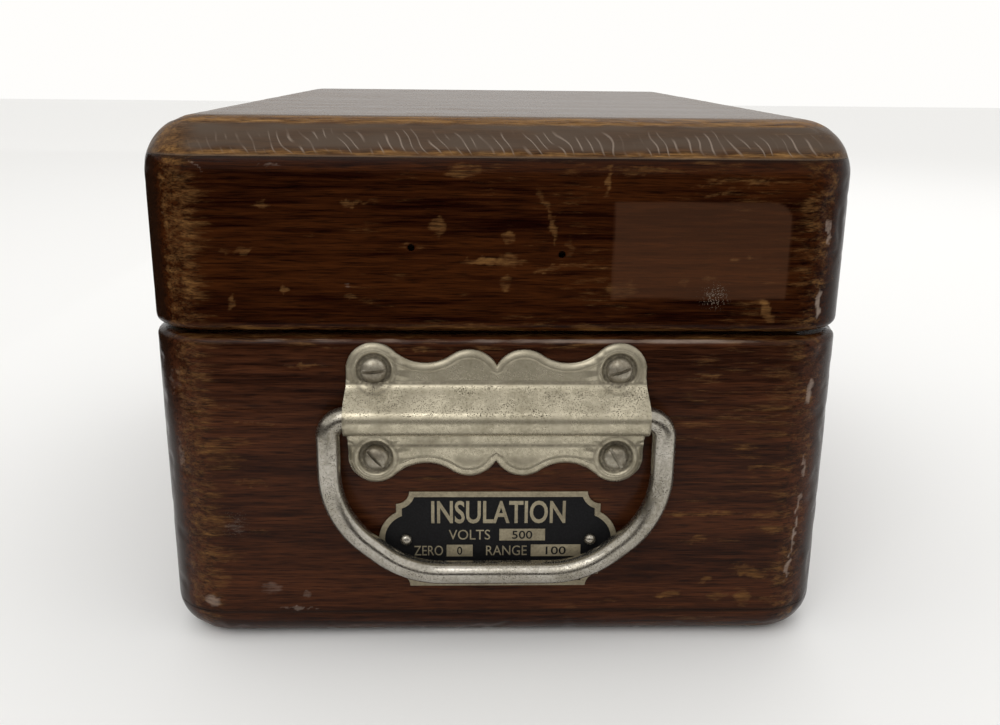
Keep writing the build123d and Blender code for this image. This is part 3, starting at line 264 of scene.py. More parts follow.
def wood_state(place, outward, rise, is_lid):
    """How far a spot of the wood is worn down, and what lies on it.

    rise is the turn of the surface in degrees: 0 on a side, 90 on top, -90 underneath.
    """
    x, y, z = place.x / MM, place.y / MM, place.z / MM
    facing = -outward.y
    front = smooth(0.2, 0.9, facing)
    corner = smooth(70.0, 92.0, abs(x)) * smooth(112.0, 138.0, abs(y))
    lump = grit(place, 9 * MM, 3.0)
    long_lump = grit(place, 31 * MM, 5.0)

    # Golden wear: a ragged band beside each upright corner, the rims and the top's two edges.
    beside = abs(x) + 4.0 * lump + 3.0 * long_lump
    band = smooth(76.0, 89.0, beside) * smooth(97.0, 93.5, abs(x) + 1.5 * lump)
    band = band * smooth(112.0, 138.0, abs(y)) * (0.66 if is_lid else 0.58)
    left_end = smooth(-82.0, -93.0, x + 4 * lump) * smooth(112.0, 138.0, abs(y))
    if x > 0:
        band = band * (0.55 + 0.45 * smooth(-0.3, 0.4, grit(place, 8 * MM, 21.0)))
    rear_band = smooth(130.0, 142.0, abs(y)) * smooth(99.0, 102.0, abs(x)) * 0.45
    faint = 0.34 * smooth(-0.5, 0.5, long_lump + 0.6 * lump) * smooth(-62.0, -20.0, x)
    wear = max(band, rear_band, faint)
    rim = LID_BOTTOM / MM if is_lid else CASE_TOP / MM
    rim_wear = smooth(4.6, 0.6, abs(z - rim) + 1.4 * lump)
    wear = max(wear, rim_wear * (0.72 if is_lid else 0.5))
    if is_lid:
        upper = smooth(56.0, 64.0, rise + 5 * lump) * smooth(89.9, 84.0, rise)
        lower = smooth(18.0, 22.0, rise) * smooth(31.0, 25.0, rise + 4 * lump)
        wear = max(wear, 0.9 * upper, 0.72 * lower, 0.75 * left_end * smooth(12.0, 24.0, rise))
        corner_top = corner * smooth(20.0, 60.0, rise)
        wear = max(wear, 0.55 * corner_top)
    else:
        foot = smooth(-20.0, -50.0, rise) * 0.35
        wear = max(wear, foot)
    marks, scuffs = (LID_MARKS, LID_SCUFFS) if is_lid else (CASE_MARKS, CASE_SCUFFS)
    scuff_and_highlight = 0.35 * smooth(0.25, 0.6, grit(place, 7 * MM, 11.0)) * smooth(0.3, 0.9, corner)
    nick = tool_mark(place, outward, rise) if is_lid else 0.0
    if not is_lid:
        # Painted highlight: a pale pinkish stripe along the case's upper rim rounding, brighter to the right, put
        # in with the scuffs.
        lip = smooth(8.0, 24.0, rise) * smooth(64.0, 48.0, rise) * smooth(90.0, 60.0, abs(x))
        scuff_and_highlight = max(scuff_and_highlight, lip * (0.45 + 0.30 * smooth(-20.0, 20.0, x) + 0.35 * lump))
    ghost = 0.0
    speckle = 0.0
    if front > 0.5:
        wear = max(wear, mark_strength(marks, x, z))
        scuff_and_highlight = max(scuff_and_highlight, mark_strength(scuffs, x, z))
        if is_lid:
            left, right, low, high = LABEL_GHOST
            inside = min(x - left, right - x, z - low, high - z)
            across = math.hypot(max(0.0, x - right + 5), max(0.0, z - high + 5))
            inside = min(inside, 5 - across)
            ghost = smooth(-0.4, 0.4, inside + 0.3 * lump)
            wear = wear * (1 - 0.25 * ghost)
            speckle = smooth(7.5, 1.0, math.hypot(x - 61.5, 1.1 * (z - 112.0)))
        else:
            speckle = 0.5 * smooth(9.0, 2.0, math.hypot(x + 79.5, z - 41.0))

    # Soiling in the glue joints and over the middle of the roundover, and painted shade where the upright corners
    # turn away to the sides.
    joint = CEILING / MM if is_lid else BOTTOM_JOINT / MM
    grime_and_shade = 0.8 * smooth(0.9, 0.2, abs(z - joint))
    if is_lid:
        band = smooth(24.0, 33.0, rise + 4 * lump) * smooth(66.0, 58.0, rise) * (1 - 0.8 * left_end)
        streak = grit(Vector((place.x, 3 * place.y, 3 * place.z)), 12 * MM, 23.0)
        grime_and_shade = max(grime_and_shade, band * (0.66 + 0.34 * smooth(-0.5, 0.5, streak)))
    # Painted shade: darker where each upright corner turns away to the side.
    grime_and_shade = max(grime_and_shade, 0.8 * smooth(94.5, 98.5, abs(x)) * smooth(110.0, 134.0, abs(y)))
    state = {"wear": wear, "grime_and_shade": grime_and_shade, "ghost": ghost, "scuff_and_highlight": scuff_and_highlight, "speckle": speckle}
    state["nick"] = nick
    return state


def dent_depth(place, outward, rise, is_lid, state):
    """How deep the surface lies under the block's true shape, in metres."""
    x = place.x / MM
    corner = smooth(80.0, 96.0, abs(x)) * smooth(120.0, 140.0, abs(place.y / MM))
    edge = max(corner, smooth(10.0, 40.0, abs(rise)) * smooth(90.0, 75.0, abs(rise)))
    depth = 0.05 * (1 + grit(place, 24 * MM, 1.0))
    depth += 0.22 * edge * smooth(0.10, 0.60, grit(place, 5 * MM, 7.0))
    depth += 0.10 * edge * (0.5 + 0.5 * grit(place, 12 * MM, 9.0))
    depth += 0.05 * state["wear"] * (1 + grit(place, 2 * MM, 13.0))
    return depth * MM


# ---------------------------------------------------------------- wooden boards
def block_outline(front_step, side_step, rear_step):
    """Points round the block's plan with their outward directions, anticlockwise from the front."""
    flat_x, flat_y = HALF_X - CORNER_RADIUS, HALF_Y - CORNER_RADIUS
    sides = (
        (Vector((-flat_x, -HALF_Y, 0)), Vector((flat_x, -HALF_Y, 0)), front_step, -90.0),
        (Vector((HALF_X, -flat_y, 0)), Vector((HALF_X, flat_y, 0)), side_step, 0.0),
        (Vector((flat_x, HALF_Y, 0)), Vector((-flat_x, HALF_Y, 0)), rear_step, 90.0),
        (Vector((-HALF_X, flat_y, 0)), Vector((-HALF_X, -flat_y, 0)), side_step, 180.0),
    )
    corner_steps = 30
    outline = []
    for start, end, step, facing in sides:
        turn = math.radians(facing)
        outward = Vector((math.cos(turn), math.sin(turn), 0))
        count = round((end - start).length / step)
        for index in range(count):
            outline.append((start.lerp(end, index / count), outward))
        centre = end - outward * CORNER_RADIUS
        for index in range(corner_steps):
            turn = math.radians(facing + 90 * index / corner_steps)
            spoke = Vector((math.cos(turn), math.sin(turn), 0))
            outline.append((centre + CORNER_RADIUS * spoke, spoke))
    return outline


def block_rings(low, high, low_rounding, high_rounding, step):
    """The block's upright profile as (inset, height, rise in degrees), from underneath to the top."""
    rings = [(low_rounding + 0.5 * MM, low, -90.0)]
    for rounding, centre_z, first, last in (
        (low_rounding, low + low_rounding, -90.0, 0.0),
        (high_rounding, high - high_rounding, 0.0, 90.0),
    ):
        steps = max(4, round(math.pi / 2 * rounding / step))
        for index in range(steps + 1):
            rise = first + (last - first) * index / steps
            turn = math.radians(rise)
            rings.append((rounding * (1 - math.cos(turn)), centre_z + rounding * math.sin(turn), rise))
        if first < 0:
            flat_low, flat_high = low + low_rounding, high - high_rounding
            rows = round((flat_high - flat_low) / step)
            for index in range(1, rows):
                rings.append((0.0, flat_low + (flat_high - flat_low) * index / rows, 0.0))
    rings.append((high_rounding + 0.5 * MM, high, 90.0))
    return rings


def wooden_block(low, high, low_rounding, high_rounding, is_lid):
    """The outside of the case or of the lid as one closed, knocked-about block."""
    outline = block_outline(0.6 * MM, 2.4 * MM, 1.5 * MM)
    rings = block_rings(low, high, low_rounding, high_rounding, 0.65 * MM)
    bm = bmesh.new()
    layers = {name: bm.verts.layers.float.new(name) for name in ATTRIBUTES}
    rows = []
    for inset, height, rise in rings:
        row = []
        lean = math.radians(rise)
        for point, outward in outline:
            place = point - outward * inset
            place.z = height
            state = wood_state(place, outward, rise, is_lid)
            normal = outward * math.cos(lean) + Vector((0, 0, math.sin(lean)))
            flat = abs(rise) == 90.0
            depth = 0.0 if flat else dent_depth(place, outward, rise, is_lid, state)
            vertex = bm.verts.new(place - normal * depth)
            for name, layer in layers.items():
                vertex[layer] = state[name]
            row.append(vertex)
        rows.append(row)
    count = len(outline)
    for lower, upper in zip(rows, rows[1:]):
        for index in range(count):
            after = (index + 1) % count
            bm.faces.new((lower[index], lower[after], upper[after], upper[index]))
    bm.faces.new(rows[-1])
    bm.faces.new(tuple(reversed(rows[0])))
    return bm


def cut_board(block, name, cuts):
    """One board sawn out of the block: each cut is a point and the direction that is thrown away."""
    board = block.copy()
    for place, thrown in cuts:
        bmesh.ops.bisect_plane(
            board,
            geom=board.verts[:] + board.edges[:] + board.faces[:],
            plane_co=place,
            plane_no=thrown,
            clear_outer=True,
        )
        open_edges = [edge for edge in board.edges if edge.is_boundary]
        for face in bmesh.ops.holes_fill(board, edges=open_edges, sides=0)["faces"]:
            face.material_index = 1
    bmesh.ops.recalc_face_normals(board, faces=board.faces[:])
    return mesh_from(board, name)


def drilled(mesh, places, radius, depth):
    """The mesh with round holes bored into its front."""
    bits = bmesh.new()
    for x, z in places:
        turn = Matrix.Rotation(math.radians(90), 4, "X")
        spot = Matrix.Translation((x * MM, FRONT, z * MM)) @ turn
        bmesh.ops.create_cone(
            bits,
            cap_ends=True,
            segments=20,
            radius1=radius,
            radius2=0.8 * radius,
            depth=2 * depth,
            matrix=spot,
        )
    helper = bpy.data.objects.new("hole_bits", mesh_from(bits, "hole_bits"))
    holder = bpy.data.objects.new("drilled_board", mesh)
    for thing in (helper, holder):
        bpy.context.scene.collection.objects.link(thing)
    boring = holder.modifiers.new("boring", "BOOLEAN")
    boring.operation = "DIFFERENCE"
    boring.object = helper
    boring.solver = "EXACT"
    result = finished_mesh(holder)
    bpy.data.objects.remove(helper)
    return result


def build_boards(materials):
    """All ten boards of the case and its lid."""
    front_cut = (Vector((0, -INNER_Y, 0)), Vector((0, 1, 0)))
    rear_cut = (Vector((0, INNER_Y, 0)), Vector((0, -1, 0)))
    between = (
        (Vector((0, -INNER_Y, 0)), Vector((0, -1, 0))),
        (Vector((0, INNER_Y, 0)), Vector((0, 1, 0))),
    )
    left_cut = (Vector((-INNER_X, 0, 0)), Vector((1, 0, 0)))
    right_cut = (Vector((INNER_X, 0, 0)), Vector((-1, 0, 0)))
    under_ceiling = (Vector((0, 0, CEILING)), Vector((0, 0, 1)))
    over_ceiling = (Vector((0, 0, CEILING)), Vector((0, 0, -1)))
    over_floor = (Vector((0, 0, BOTTOM_JOINT)), Vector((0, 0, -1)))
    under_floor = (Vector((0, 0, BOTTOM_JOINT)), Vector((0, 0, 1)))
    lid = wooden_block(LID_BOTTOM, LID_HIGH, RIM_ROUNDING, TOP_ROUNDOVER, True)
    case = wooden_block(0.0, CASE_TOP, BOTTOM_ROUNDOVER, RIM_ROUNDING, False)
    plan = (
        ("lid_end_front", lid, (under_ceiling, front_cut), "lid"),
        ("lid_end_rear", lid, (under_ceiling, rear_cut), "lid"),
        ("lid_side_left", lid, (under_ceiling, *between, left_cut), "lid"),
        ("lid_side_right", lid, (under_ceiling, *between, right_cut), "lid"),
        ("lid_top", lid, (over_ceiling,), "lid"),
        ("case_end_front", case, (over_floor, front_cut), "case"),
        ("case_end_rear", case, (over_floor, rear_cut), "case"),
        ("case_side_left", case, (over_floor, *between, left_cut), "case"),
        ("case_side_right", case, (over_floor, *between, right_cut), "case"),
        ("case_bottom", case, (under_floor,), "case"),
    )
    for node, block, cuts, body in plan:
        mesh = cut_board(block, node + "_board", cuts)
        if node == "lid_end_front":
            mesh = drilled(mesh, LID_HOLES, HOLE_RADIUS * MM, 6 * MM)
        piece = new_piece(node + "_board", mesh, body, materials[node], (node,))
        soft_edges(piece, 0.22 * MM, 2, 60.0)
    lid.free()
    case.free()


# ---------------------------------------------------------------- handle plate
# Places on the plate are in millimetres from the middle of its barrel; out is away from the wood.
SHEET = 1.6
LOBE_X, LOBE_Z, LOBE_RADIUS = 35.75, 13.5, 8.1
HUMP_X, HUMP_Z, HUMP_RADIUS = 8.0, 10.44, 9.16
VALLEY_RADIUS = 13.1
FLANGE_HALF = LOBE_X + LOBE_RADIUS
BARREL_HALF = 44.35
ROD_OUT = 4.8
ROD_RADIUS = 3.5
BORE_RADIUS = 3.58
BARREL_RADIUS = BORE_RADIUS + SHEET
SHOULDER_TURN = 36.8
CREASE_Z = 8.8
SCREW_HEAD = 3.9
DISH_EDGE = 5.4
RIM_WIDTH = 2.5


def valley_centre():
    """The centre of the hollow arc that rests on the lobe and on the hump."""
    span = math.dist((LOBE_X, LOBE_Z), (HUMP_X, HUMP_Z))
    reach_lobe, reach_hump = LOBE_RADIUS + VALLEY_RADIUS, HUMP_RADIUS + VALLEY_RADIUS
    along = (reach_lobe**2 - reach_hump**2 + span**2) / (2 * span)
    aside = math.sqrt(reach_lobe**2 - along**2)
    step_x, step_z = (HUMP_X - LOBE_X) / span, (HUMP_Z - LOBE_Z) / span
    return LOBE_X + along * step_x + aside * step_z, LOBE_Z + along * step_z - aside * step_x


VALLEY_X, VALLEY_Z = valley_centre()


def plate_edge(x):
    """The height of the plate's wavy upper edge above the barrel's middle."""
    x = min(abs(x), FLANGE_HALF)
    share = VALLEY_RADIUS / (VALLEY_RADIUS + HUMP_RADIUS)
    hump_end = VALLEY_X + (HUMP_X - VALLEY_X) * share
    share = VALLEY_RADIUS / (VALLEY_RADIUS + LOBE_RADIUS)
    lobe_start = VALLEY_X + (LOBE_X - VALLEY_X) * share
    if x < hump_end:
        return HUMP_Z + math.sqrt(HUMP_RADIUS**2 - (x - HUMP_X) ** 2)
    if x < lobe_start:
        return VALLEY_Z - math.sqrt(VALLEY_RADIUS**2 - (x - VALLEY_X) ** 2)
    return LOBE_Z + math.sqrt(max(0.0, LOBE_RADIUS**2 - (x - LOBE_X) ** 2))


def edge_samples():
    """Points along the right half of the upper edge and down its outer side."""
    count = 240
    samples = [(FLANGE_HALF * i / count, plate_edge(FLANGE_HALF * i / count)) for i in range(count + 1)]
    samples += [(FLANGE_HALF, LOBE_Z - 0.4 * i) for i in range(8)]
    return samples


EDGE_SAMPLES = edge_samples()


def flange_front(x, z, level):
    """How far the flange's front stands out at a spot; level is 1 above the barrel and -1 below."""
    near = min((abs(x) - a) ** 2 + (z - b) ** 2 for a, b in EDGE_SAMPLES)
    rim = min(1.0, math.sqrt(near) / RIM_WIDTH)
    out = SHEET * (0.16 + 0.84 * math.sqrt(max(0.0, 1 - (1 - rim) ** 2)))
    out -= 0.16 * smooth(0.86, 1.0, rim)
    radius = math.hypot(abs(x) - LOBE_X, z - LOBE_Z)
    dish = smooth(DISH_EDGE, DISH_EDGE - 0.9, radius)
    ring = smooth(DISH_EDGE - 0.2, DISH_EDGE + 0.2, radius)
    ring = ring * smooth(DISH_EDGE + 1.1, DISH_EDGE + 0.5, radius)
    out = out - 0.75 * dish + 0.14 * ring
    # Press marks that fan out from each screw towards the middle.
    bearing = math.degrees(math.atan2(z - LOBE_Z, abs(x) - LOBE_X))
    fan = smooth(6.2, 6.8, radius) * smooth(10.5, 9.4, radius) * smooth(120.0, 135.0, abs(bearing))
    out += 0.20 * fan * (abs((bearing / 24.0) % 1.0 - 0.5) * 2 - 0.5)
    dent = grit(Vector((x, level * z, 0)), 9.0, 4.0)
    return max(0.12, out + 0.05 * dent)


def plate_grime(x, z, flange):
    """How dark a spot of the plate's front is made, from 0 to 1. Painted shade goes in the screw dishes and round
    them, along the creases, under the barrel, at the rim steps, on the upper rim and over the lower flange.
    Soiling goes round the screws, at the barrel's ends and in clouds.
    """
    spot = Vector((x, z, 0))
    radius = math.hypot(abs(x) - LOBE_X, abs(z) - LOBE_Z)
    # Painted shade: bowl, groove, crease, lip, step, rim and bay. Soiling: halo, ends and cloud.
    bowl = 0.75 * smooth(DISH_EDGE + 0.1, DISH_EDGE - 0.5, radius)
    halo = 0.45 * smooth(9.5, 5.0, radius) * smooth(-0.1, 0.5, grit(spot, 2.6, 3.0))
    groove = 0.55 * smooth(0.55, 0.1, abs(radius - DISH_EDGE - 1.15))
    crease = 0.65 * smooth(0.9, 0.1, abs(abs(z) - CREASE_Z - 0.9))
    lip = 0.8 * smooth(0.7, 0.0, abs(z + BARREL_RADIUS + 0.6)) * (1 - flange)
    near = min((abs(x) - a) ** 2 + (abs(z) - b) ** 2 for a, b in EDGE_SAMPLES)
    step = (0.4 if z > 0 else 0.12) * flange * smooth(0.5, 0.1, abs(math.sqrt(near) - RIM_WIDTH - 0.1))
    rim = 0.34 * flange * smooth(RIM_WIDTH, RIM_WIDTH - 0.6, math.sqrt(near)) * (1 if z > 0 else 0.0)
    bay = 0.42 * smooth(-CREASE_Z - 3.5, -CREASE_Z - 6.0, z) * smooth(RIM_WIDTH, RIM_WIDTH + 2.0, math.sqrt(near))
    ends = 0.7 * smooth(BARREL_HALF - 1.3, BARREL_HALF, abs(x)) * smooth(-0.2, 0.4, grit(spot, 1.8, 9.0))
    cloud = 0.22 * smooth(0.0, 0.6, grit(spot, 6.0, 12.0))
    return min(1.0, max(bowl, halo, groove, crease, lip, step, rim, bay, ends, cloud))


def plate_profile():
    """The barrel's cross-section from crease to lower flange, as (z, out) pairs: front and back."""
    turn = math.radians(SHOULDER_TURN)
    front, back = [], []
    # A hollow fillet from the flange into the sloping shoulder.
    slope_z = math.sin(turn) * BARREL_RADIUS
    slope_out = ROD_OUT + math.cos(turn) * BARREL_RADIUS
    fillet_steps = 6
    for index in range(fillet_steps):
        share = index / (fillet_steps - 1)
        drop = 2.4 * share
        front.append((CREASE_Z + 1.2 - drop, SHEET + 1.62 * share**2))
        back.append((CREASE_Z + 1.2 - drop, 0.02 + 0.9 * share**2))
    start_z, start_out = front[-1]
    back_z, back_out = back[-1]
    inner_z, inner_out = math.sin(turn) * BORE_RADIUS, ROD_OUT + math.cos(turn) * BORE_RADIUS
    slope_steps = 8
    for index in range(1, slope_steps):
        share = index / slope_steps
        swell = 0.12 * math.sin(math.pi * share)
        out = start_out + (slope_out - start_out) * share + swell
        front.append((start_z + (slope_z - start_z) * share, out))
        back.append((back_z + (inner_z - back_z) * share, back_out + (inner_out - back_out) * share))
    arc_steps = 20
    for index in range(arc_steps + 1):
        angle = math.radians(SHOULDER_TURN - (SHOULDER_TURN + 90) * index / arc_steps)
        front.append((BARREL_RADIUS * math.sin(angle), ROD_OUT + BARREL_RADIUS * math.cos(angle)))
        back.append((BORE_RADIUS * math.sin(angle), ROD_OUT + BORE_RADIUS * math.cos(angle)))
    # Under the barrel the sheet turns back to the wood and out into the lower flange.
    turn_back = 2.4
    turn_steps = 7
    for index in range(turn_steps + 1):
        angle = math.radians(90 * index / turn_steps)
        front.append(
            (
                -BARREL_RADIUS - turn_back * (1 - math.cos(angle)),
                SHEET + turn_back * (1 - math.sin(angle)),
            )
        )
        share = index / turn_steps
        back.append((-BORE_RADIUS - turn_back * share**2, max(0.02, 2.2 * (1 - share))))
    return front, back


def handle_columns():
    """Places across the plate, closest together round the screws and at the ends."""
    columns = [FLANGE_HALF - s for s in (0.0, 0.12, 0.35, 0.65, 1.0, 1.4, 1.8)]
    x = columns[-1]
    while x > LOBE_X - 11.0:
        x -= 0.36
        columns.append(x)
    count = round(x / 0.75)
    columns += [x * (1 - index / count) for index in range(1, count + 1)]
    half = sorted(set(round(c, 6) for c in columns))
    return [-c for c in reversed(half) if c > 0] + half


def build_handle_plate(material):
    """The pressed plate: two wavy flanges and the barrel that holds the rod."""
    columns = handle_columns()
    front_rows, back_rows = plate_profile()
    flange_rows = 34
    top_z, low_z = front_rows[0][0], front_rows[-1][0]
    bm = bmesh.new()
    grime_and_shade = bm.verts.layers.float.new("grime_and_shade")
    sheets = []
    for side in ("front", "back"):
        grid = []
        profile = front_rows if side == "front" else back_rows
        for x in columns:
            edge = plate_edge(x)
            places = []
            for index in range(flange_rows):
                share = (index / flange_rows) ** 1.25
                z = edge + (top_z - edge) * share
                out = flange_front(x, z, 1) if side == "front" else 0.02
                places.append((x, z, out, 1.0))
            for z, out in profile:
                places.append((x, z, out, 0.0))
            for index in range(flange_rows - 1, -1, -1):
                share = (index / flange_rows) ** 1.25
                z = -edge + (low_z + edge) * share
                out = flange_front(x, -z, -1) if side == "front" else 0.02
                places.append((x, z, out, 1.0))
            column = []
            for x_place, z, out, flange in places:
                swell = smooth(CREASE_Z + 1.2, 4.0, abs(z)) * (1 - flange)
                x_here = x_place * (1 + (BARREL_HALF / FLANGE_HALF - 1) * swell)
                if side == "front" and not flange:
                    spot = Vector((x_here, z, out))
                    out -= 0.06 * (1 + grit(spot, 11.0, 6.0))
                    chip = smooth(43.2, 44.2, -x_here) * smooth(0.1, 0.5, grit(spot, 1.6, 8.0))
                    out -= 0.5 * chip * smooth(1.0, 4.0, out)
                place = (HANDLE_X + x_here * MM, FRONT - out * MM, HANDLE_Z + z * MM)
                vertex = bm.verts.new(place)
                vertex[grime_and_shade] = plate_grime(x_here, z, flange) if side == "front" else 0.0
                column.append(vertex)
            grid.append(column)
        sheets.append(grid)
    front, back = sheets
    rows = len(front[0])
    for index in range(len(columns) - 1):
        for row in range(rows - 1):
            a, b = front[index], front[index + 1]
            bm.faces.new((a[row], a[row + 1], b[row + 1], b[row]))
            a, b = back[index], back[index + 1]
            bm.faces.new((a[row], b[row], b[row + 1], a[row + 1]))
    # The rim joins the front of the sheet to its back, all the way round.
    loop = [(index, 0) for index in range(len(columns))]
    loop += [(len(columns) - 1, row) for row in range(1, rows)]
    loop += [(index, rows - 1) for index in range(len(columns) - 2, -1, -1)]
    loop += [(0, row) for row in range(rows - 2, 0, -1)]
    for (i, j), (k, m) in zip(loop, loop[1:] + loop[:1]):
        bm.faces.new((front[i][j], front[k][m], back[k][m], back[i][j]))
    bmesh.ops.recalc_face_normals(bm, faces=bm.faces[:])
    mesh = mesh_from(bm, "handle_plate_sheet")
    piece = new_piece(mesh.name, mesh, "case", [material], ("handle_plate",))
    return soft_edges(piece, 0.14 * MM, 2, 55.0)


# ---------------------------------------------------------------- handle rod
def rounded_route(corners, radii, step_degrees=4.0):
    """Points along straight runs whose corners are turned by arcs of the given radii."""
    route = [Vector(corners[0])]
    for before, corner, after, radius in zip(corners, corners[1:], corners[2:], radii):
        before, corner, after = Vector(before), Vector(corner), Vector(after)
        arriving, leaving = (corner - before).normalized(), (after - corner).normalized()
        bend = arriving.angle(leaving)
        cut = radius * math.tan(bend / 2)
        inward = (leaving - arriving).normalized()
        centre = corner + inward * (radius / math.cos(bend / 2))
        start = corner - arriving * cut - centre
        axis = arriving.cross(leaving).normalized()
        count = max(2, round(math.degrees(bend) / step_degrees))
        for index in range(count + 1):
            route.append(centre + Matrix.Rotation(bend * index / count, 3, axis) @ start)
    route.append(Vector(corners[-1]))
    return route


def build_bail(material):
    """The swinging rod, worn a little thinner where the hand pulls."""
    half_width, shoulder, foot, drop, end = 49.2, 31.0, 26.5, 49.4, 28.0
    corners = [
        (x, 0.0, z)
        for x, z in (
            (-end, 0.0),
            (-half_width, 0.0),
            (-half_width, -shoulder),
            (-foot, -drop),
            (foot, -drop),
            (half_width, -shoulder),
            (half_width, 0.0),
            (end, 0.0),
        )
    ]
    route = rounded_route(corners, (5.7, 29.0, 29.0, 29.0, 29.0, 5.7))
    curve = bpy.data.curves.new("handle_rod", "CURVE")
    curve.dimensions = "3D"
    curve.bevel_depth = ROD_RADIUS * MM
    curve.bevel_resolution = 12
    curve.use_fill_caps = True
    spline = curve.splines.new("POLY")
    spline.points.add(len(route) - 1)
    for point, place in zip(spline.points, route):
        along = Vector(((place.x + HANDLE_X / MM) * MM, FRONT - ROD_OUT * MM, place.z * MM + HANDLE_Z))
        point.co = (*along, 1.0)
        point.radius = 1.0 - 0.006 * (1 + grit(place, 13.0, 5.0)) * smooth(-8.0, -16.0, place.z)
    holder = bpy.data.objects.new("handle_rod_route", curve)
    bpy.context.scene.collection.objects.link(holder)
    mesh = finished_mesh(holder)
    for face in mesh.polygons:
        face.use_smooth = True
    return new_piece("handle_rod", mesh, "handle", [material], ("handle_bail",))


# ---------------------------------------------------------------- slotted screws
def slotted_screw(head_radius, head_height, shank_radius, length, slot_width, slot_depth):
    """A round-head wood screw in millimetres, upright, the underside of its head at zero."""
    crown = 9
    outline = [(0.0, head_height)]
    for index in range(1, crown):
        angle = math.radians(90 * index / crown)
        outline.append((head_radius * math.sin(angle), head_height * math.cos(angle) ** 0.8))
    outline += [(head_radius, 0.35), (head_radius - 0.12, 0.0), (shank_radius, 0.0)]
    outline += [(shank_radius, -length + 2 * shank_radius), (0.0, -length)]
    bm = bmesh.new()
    chain = [bm.verts.new((x, 0.0, z)) for x, z in outline]
    for upper, lower in zip(chain, chain[1:]):
        bm.edges.new((upper, lower))
    holder = bpy.data.objects.new("screw_profile", mesh_from(bm, "screw_profile"))
    bpy.context.scene.collection.objects.link(holder)
    turning = holder.modifiers.new("turning", "SCREW")
    turning.steps = 40
    turning.render_steps = 40
    turning.use_merge_vertices = True
    turning.merge_threshold = 0.001
    turning.use_normal_calculate = True
    cutter = bmesh.new()
    size = Matrix.Diagonal((3 * head_radius, slot_width, 2 * slot_depth, 1))
    bmesh.ops.create_cube(cutter, size=1.0, matrix=Matrix.Translation((0, 0, head_height)) @ size)
    helper = bpy.data.objects.new("slot_cutter", mesh_from(cutter, "slot_cutter", False))
    bpy.context.scene.collection.objects.link(helper)
    sawing = holder.modifiers.new("sawing", "BOOLEAN")
    sawing.operation = "DIFFERENCE"
    sawing.object = helper
    sawing.solver = "EXACT"
    easing = holder.modifiers.new("easing", "BEVEL")
    easing.width = 0.12
    easing.segments = 2
    easing.angle_limit = math.radians(42)
    mesh = finished_mesh(holder)
    bpy.data.objects.remove(helper)
    return mesh


def placed_screws(name, pattern, seats, body, material, replaced):
    """Copies of one screw, each at a seat given as (place, outward, slot direction)."""
    bm = bmesh.new()
    for place, outward, along in seats:
        across = outward.cross(along).normalized()
        frame_matrix = Matrix((along, across, outward)).transposed().to_4x4()
        copy = pattern.copy()
        copy.transform(Matrix.Translation(place) @ frame_matrix @ Matrix.Scale(MM, 4))
        bm.from_mesh(copy)
        bpy.data.meshes.remove(copy)
    piece = new_piece(name, mesh_from(bm, name), body, [material], replaced)
    shading = piece.modifiers.new("flat_faces", "WEIGHTED_NORMAL")
    shading.keep_sharp = True
    return piece


def build_front_screws(nickel):
    """The four handle screws, sunk in their dishes."""
    screw = slotted_screw(SCREW_HEAD, 2.6, 2.1, 13.0, 0.95, 1.35)
    seats = []
    for side, level, turn in ((-1, 1, 5.0), (1, 1, 18.0), (-1, -1, -48.0), (1, -1, -58.0)):
        lean = math.radians(turn)
        seat = Vector(
            (HANDLE_X + side * LOBE_X * MM, FRONT - (SHEET - 0.75) * MM, HANDLE_Z + level * LOBE_Z * MM)
        )
        seats.append((seat, Vector((0, -1, 0)), Vector((math.cos(lean), 0, math.sin(lean)))))
    placed_screws("handle_screw_set", screw, seats, "case", nickel, ("handle_screws",))
    bpy.data.meshes.remove(screw)


# ---------------------------------------------------------------- nameplate
PLATE_Z = (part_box("nameplate")[0].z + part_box("nameplate")[1].z) / 2
NAMEPLATE_HALF_HEIGHT = 15.7
NAMEPLATE_FLAT = 27.0
NAMEPLATE_STEP = 31.0
NAMEPLATE_HALF_WIDTH = 36.3
NAMEPLATE_SHOULDER = 8.9
BORDER = 1.75


def nameplate_quarter(inset):
    """The upper right quarter of the nameplate's outline, moved inwards by inset."""
    scoop = NAMEPLATE_STEP - NAMEPLATE_FLAT
    top, step = NAMEPLATE_HALF_HEIGHT - inset, NAMEPLATE_STEP - inset
    scoop_radius = scoop + inset
    centre_x, centre_z = NAMEPLATE_STEP, NAMEPLATE_HALF_HEIGHT
    start = math.acos(min(1.0, inset / scoop_radius)) if inset else math.pi / 2
    points = []
    steps = 8
    low_turn, high_turn = math.pi / 2 - start, start
    for index in range(steps + 1):
        turn = low_turn + (high_turn - low_turn) * index / steps
        points.append((centre_x - scoop_radius * math.cos(turn), centre_z - scoop_radius * math.sin(turn)))
    points[0] = (points[0][0], top)
    points[-1] = (step, points[-1][1])
    # The bowed end: an arc from the shoulder to the end's middle.
    bow = NAMEPLATE_HALF_WIDTH - NAMEPLATE_STEP
    bow_radius = (NAMEPLATE_SHOULDER**2 + bow**2) / (2 * bow)
    bow_centre = NAMEPLATE_HALF_WIDTH - bow_radius
    radius = bow_radius - inset
    height = math.sqrt(max(0.0, radius**2 - (step - bow_centre) ** 2))
    reach = math.asin(height / radius)
    for index in range(steps + 1):
        turn = reach * (1 - index / steps)
        points.append((bow_centre + radius * math.cos(turn), radius * math.sin(turn)))
    return points


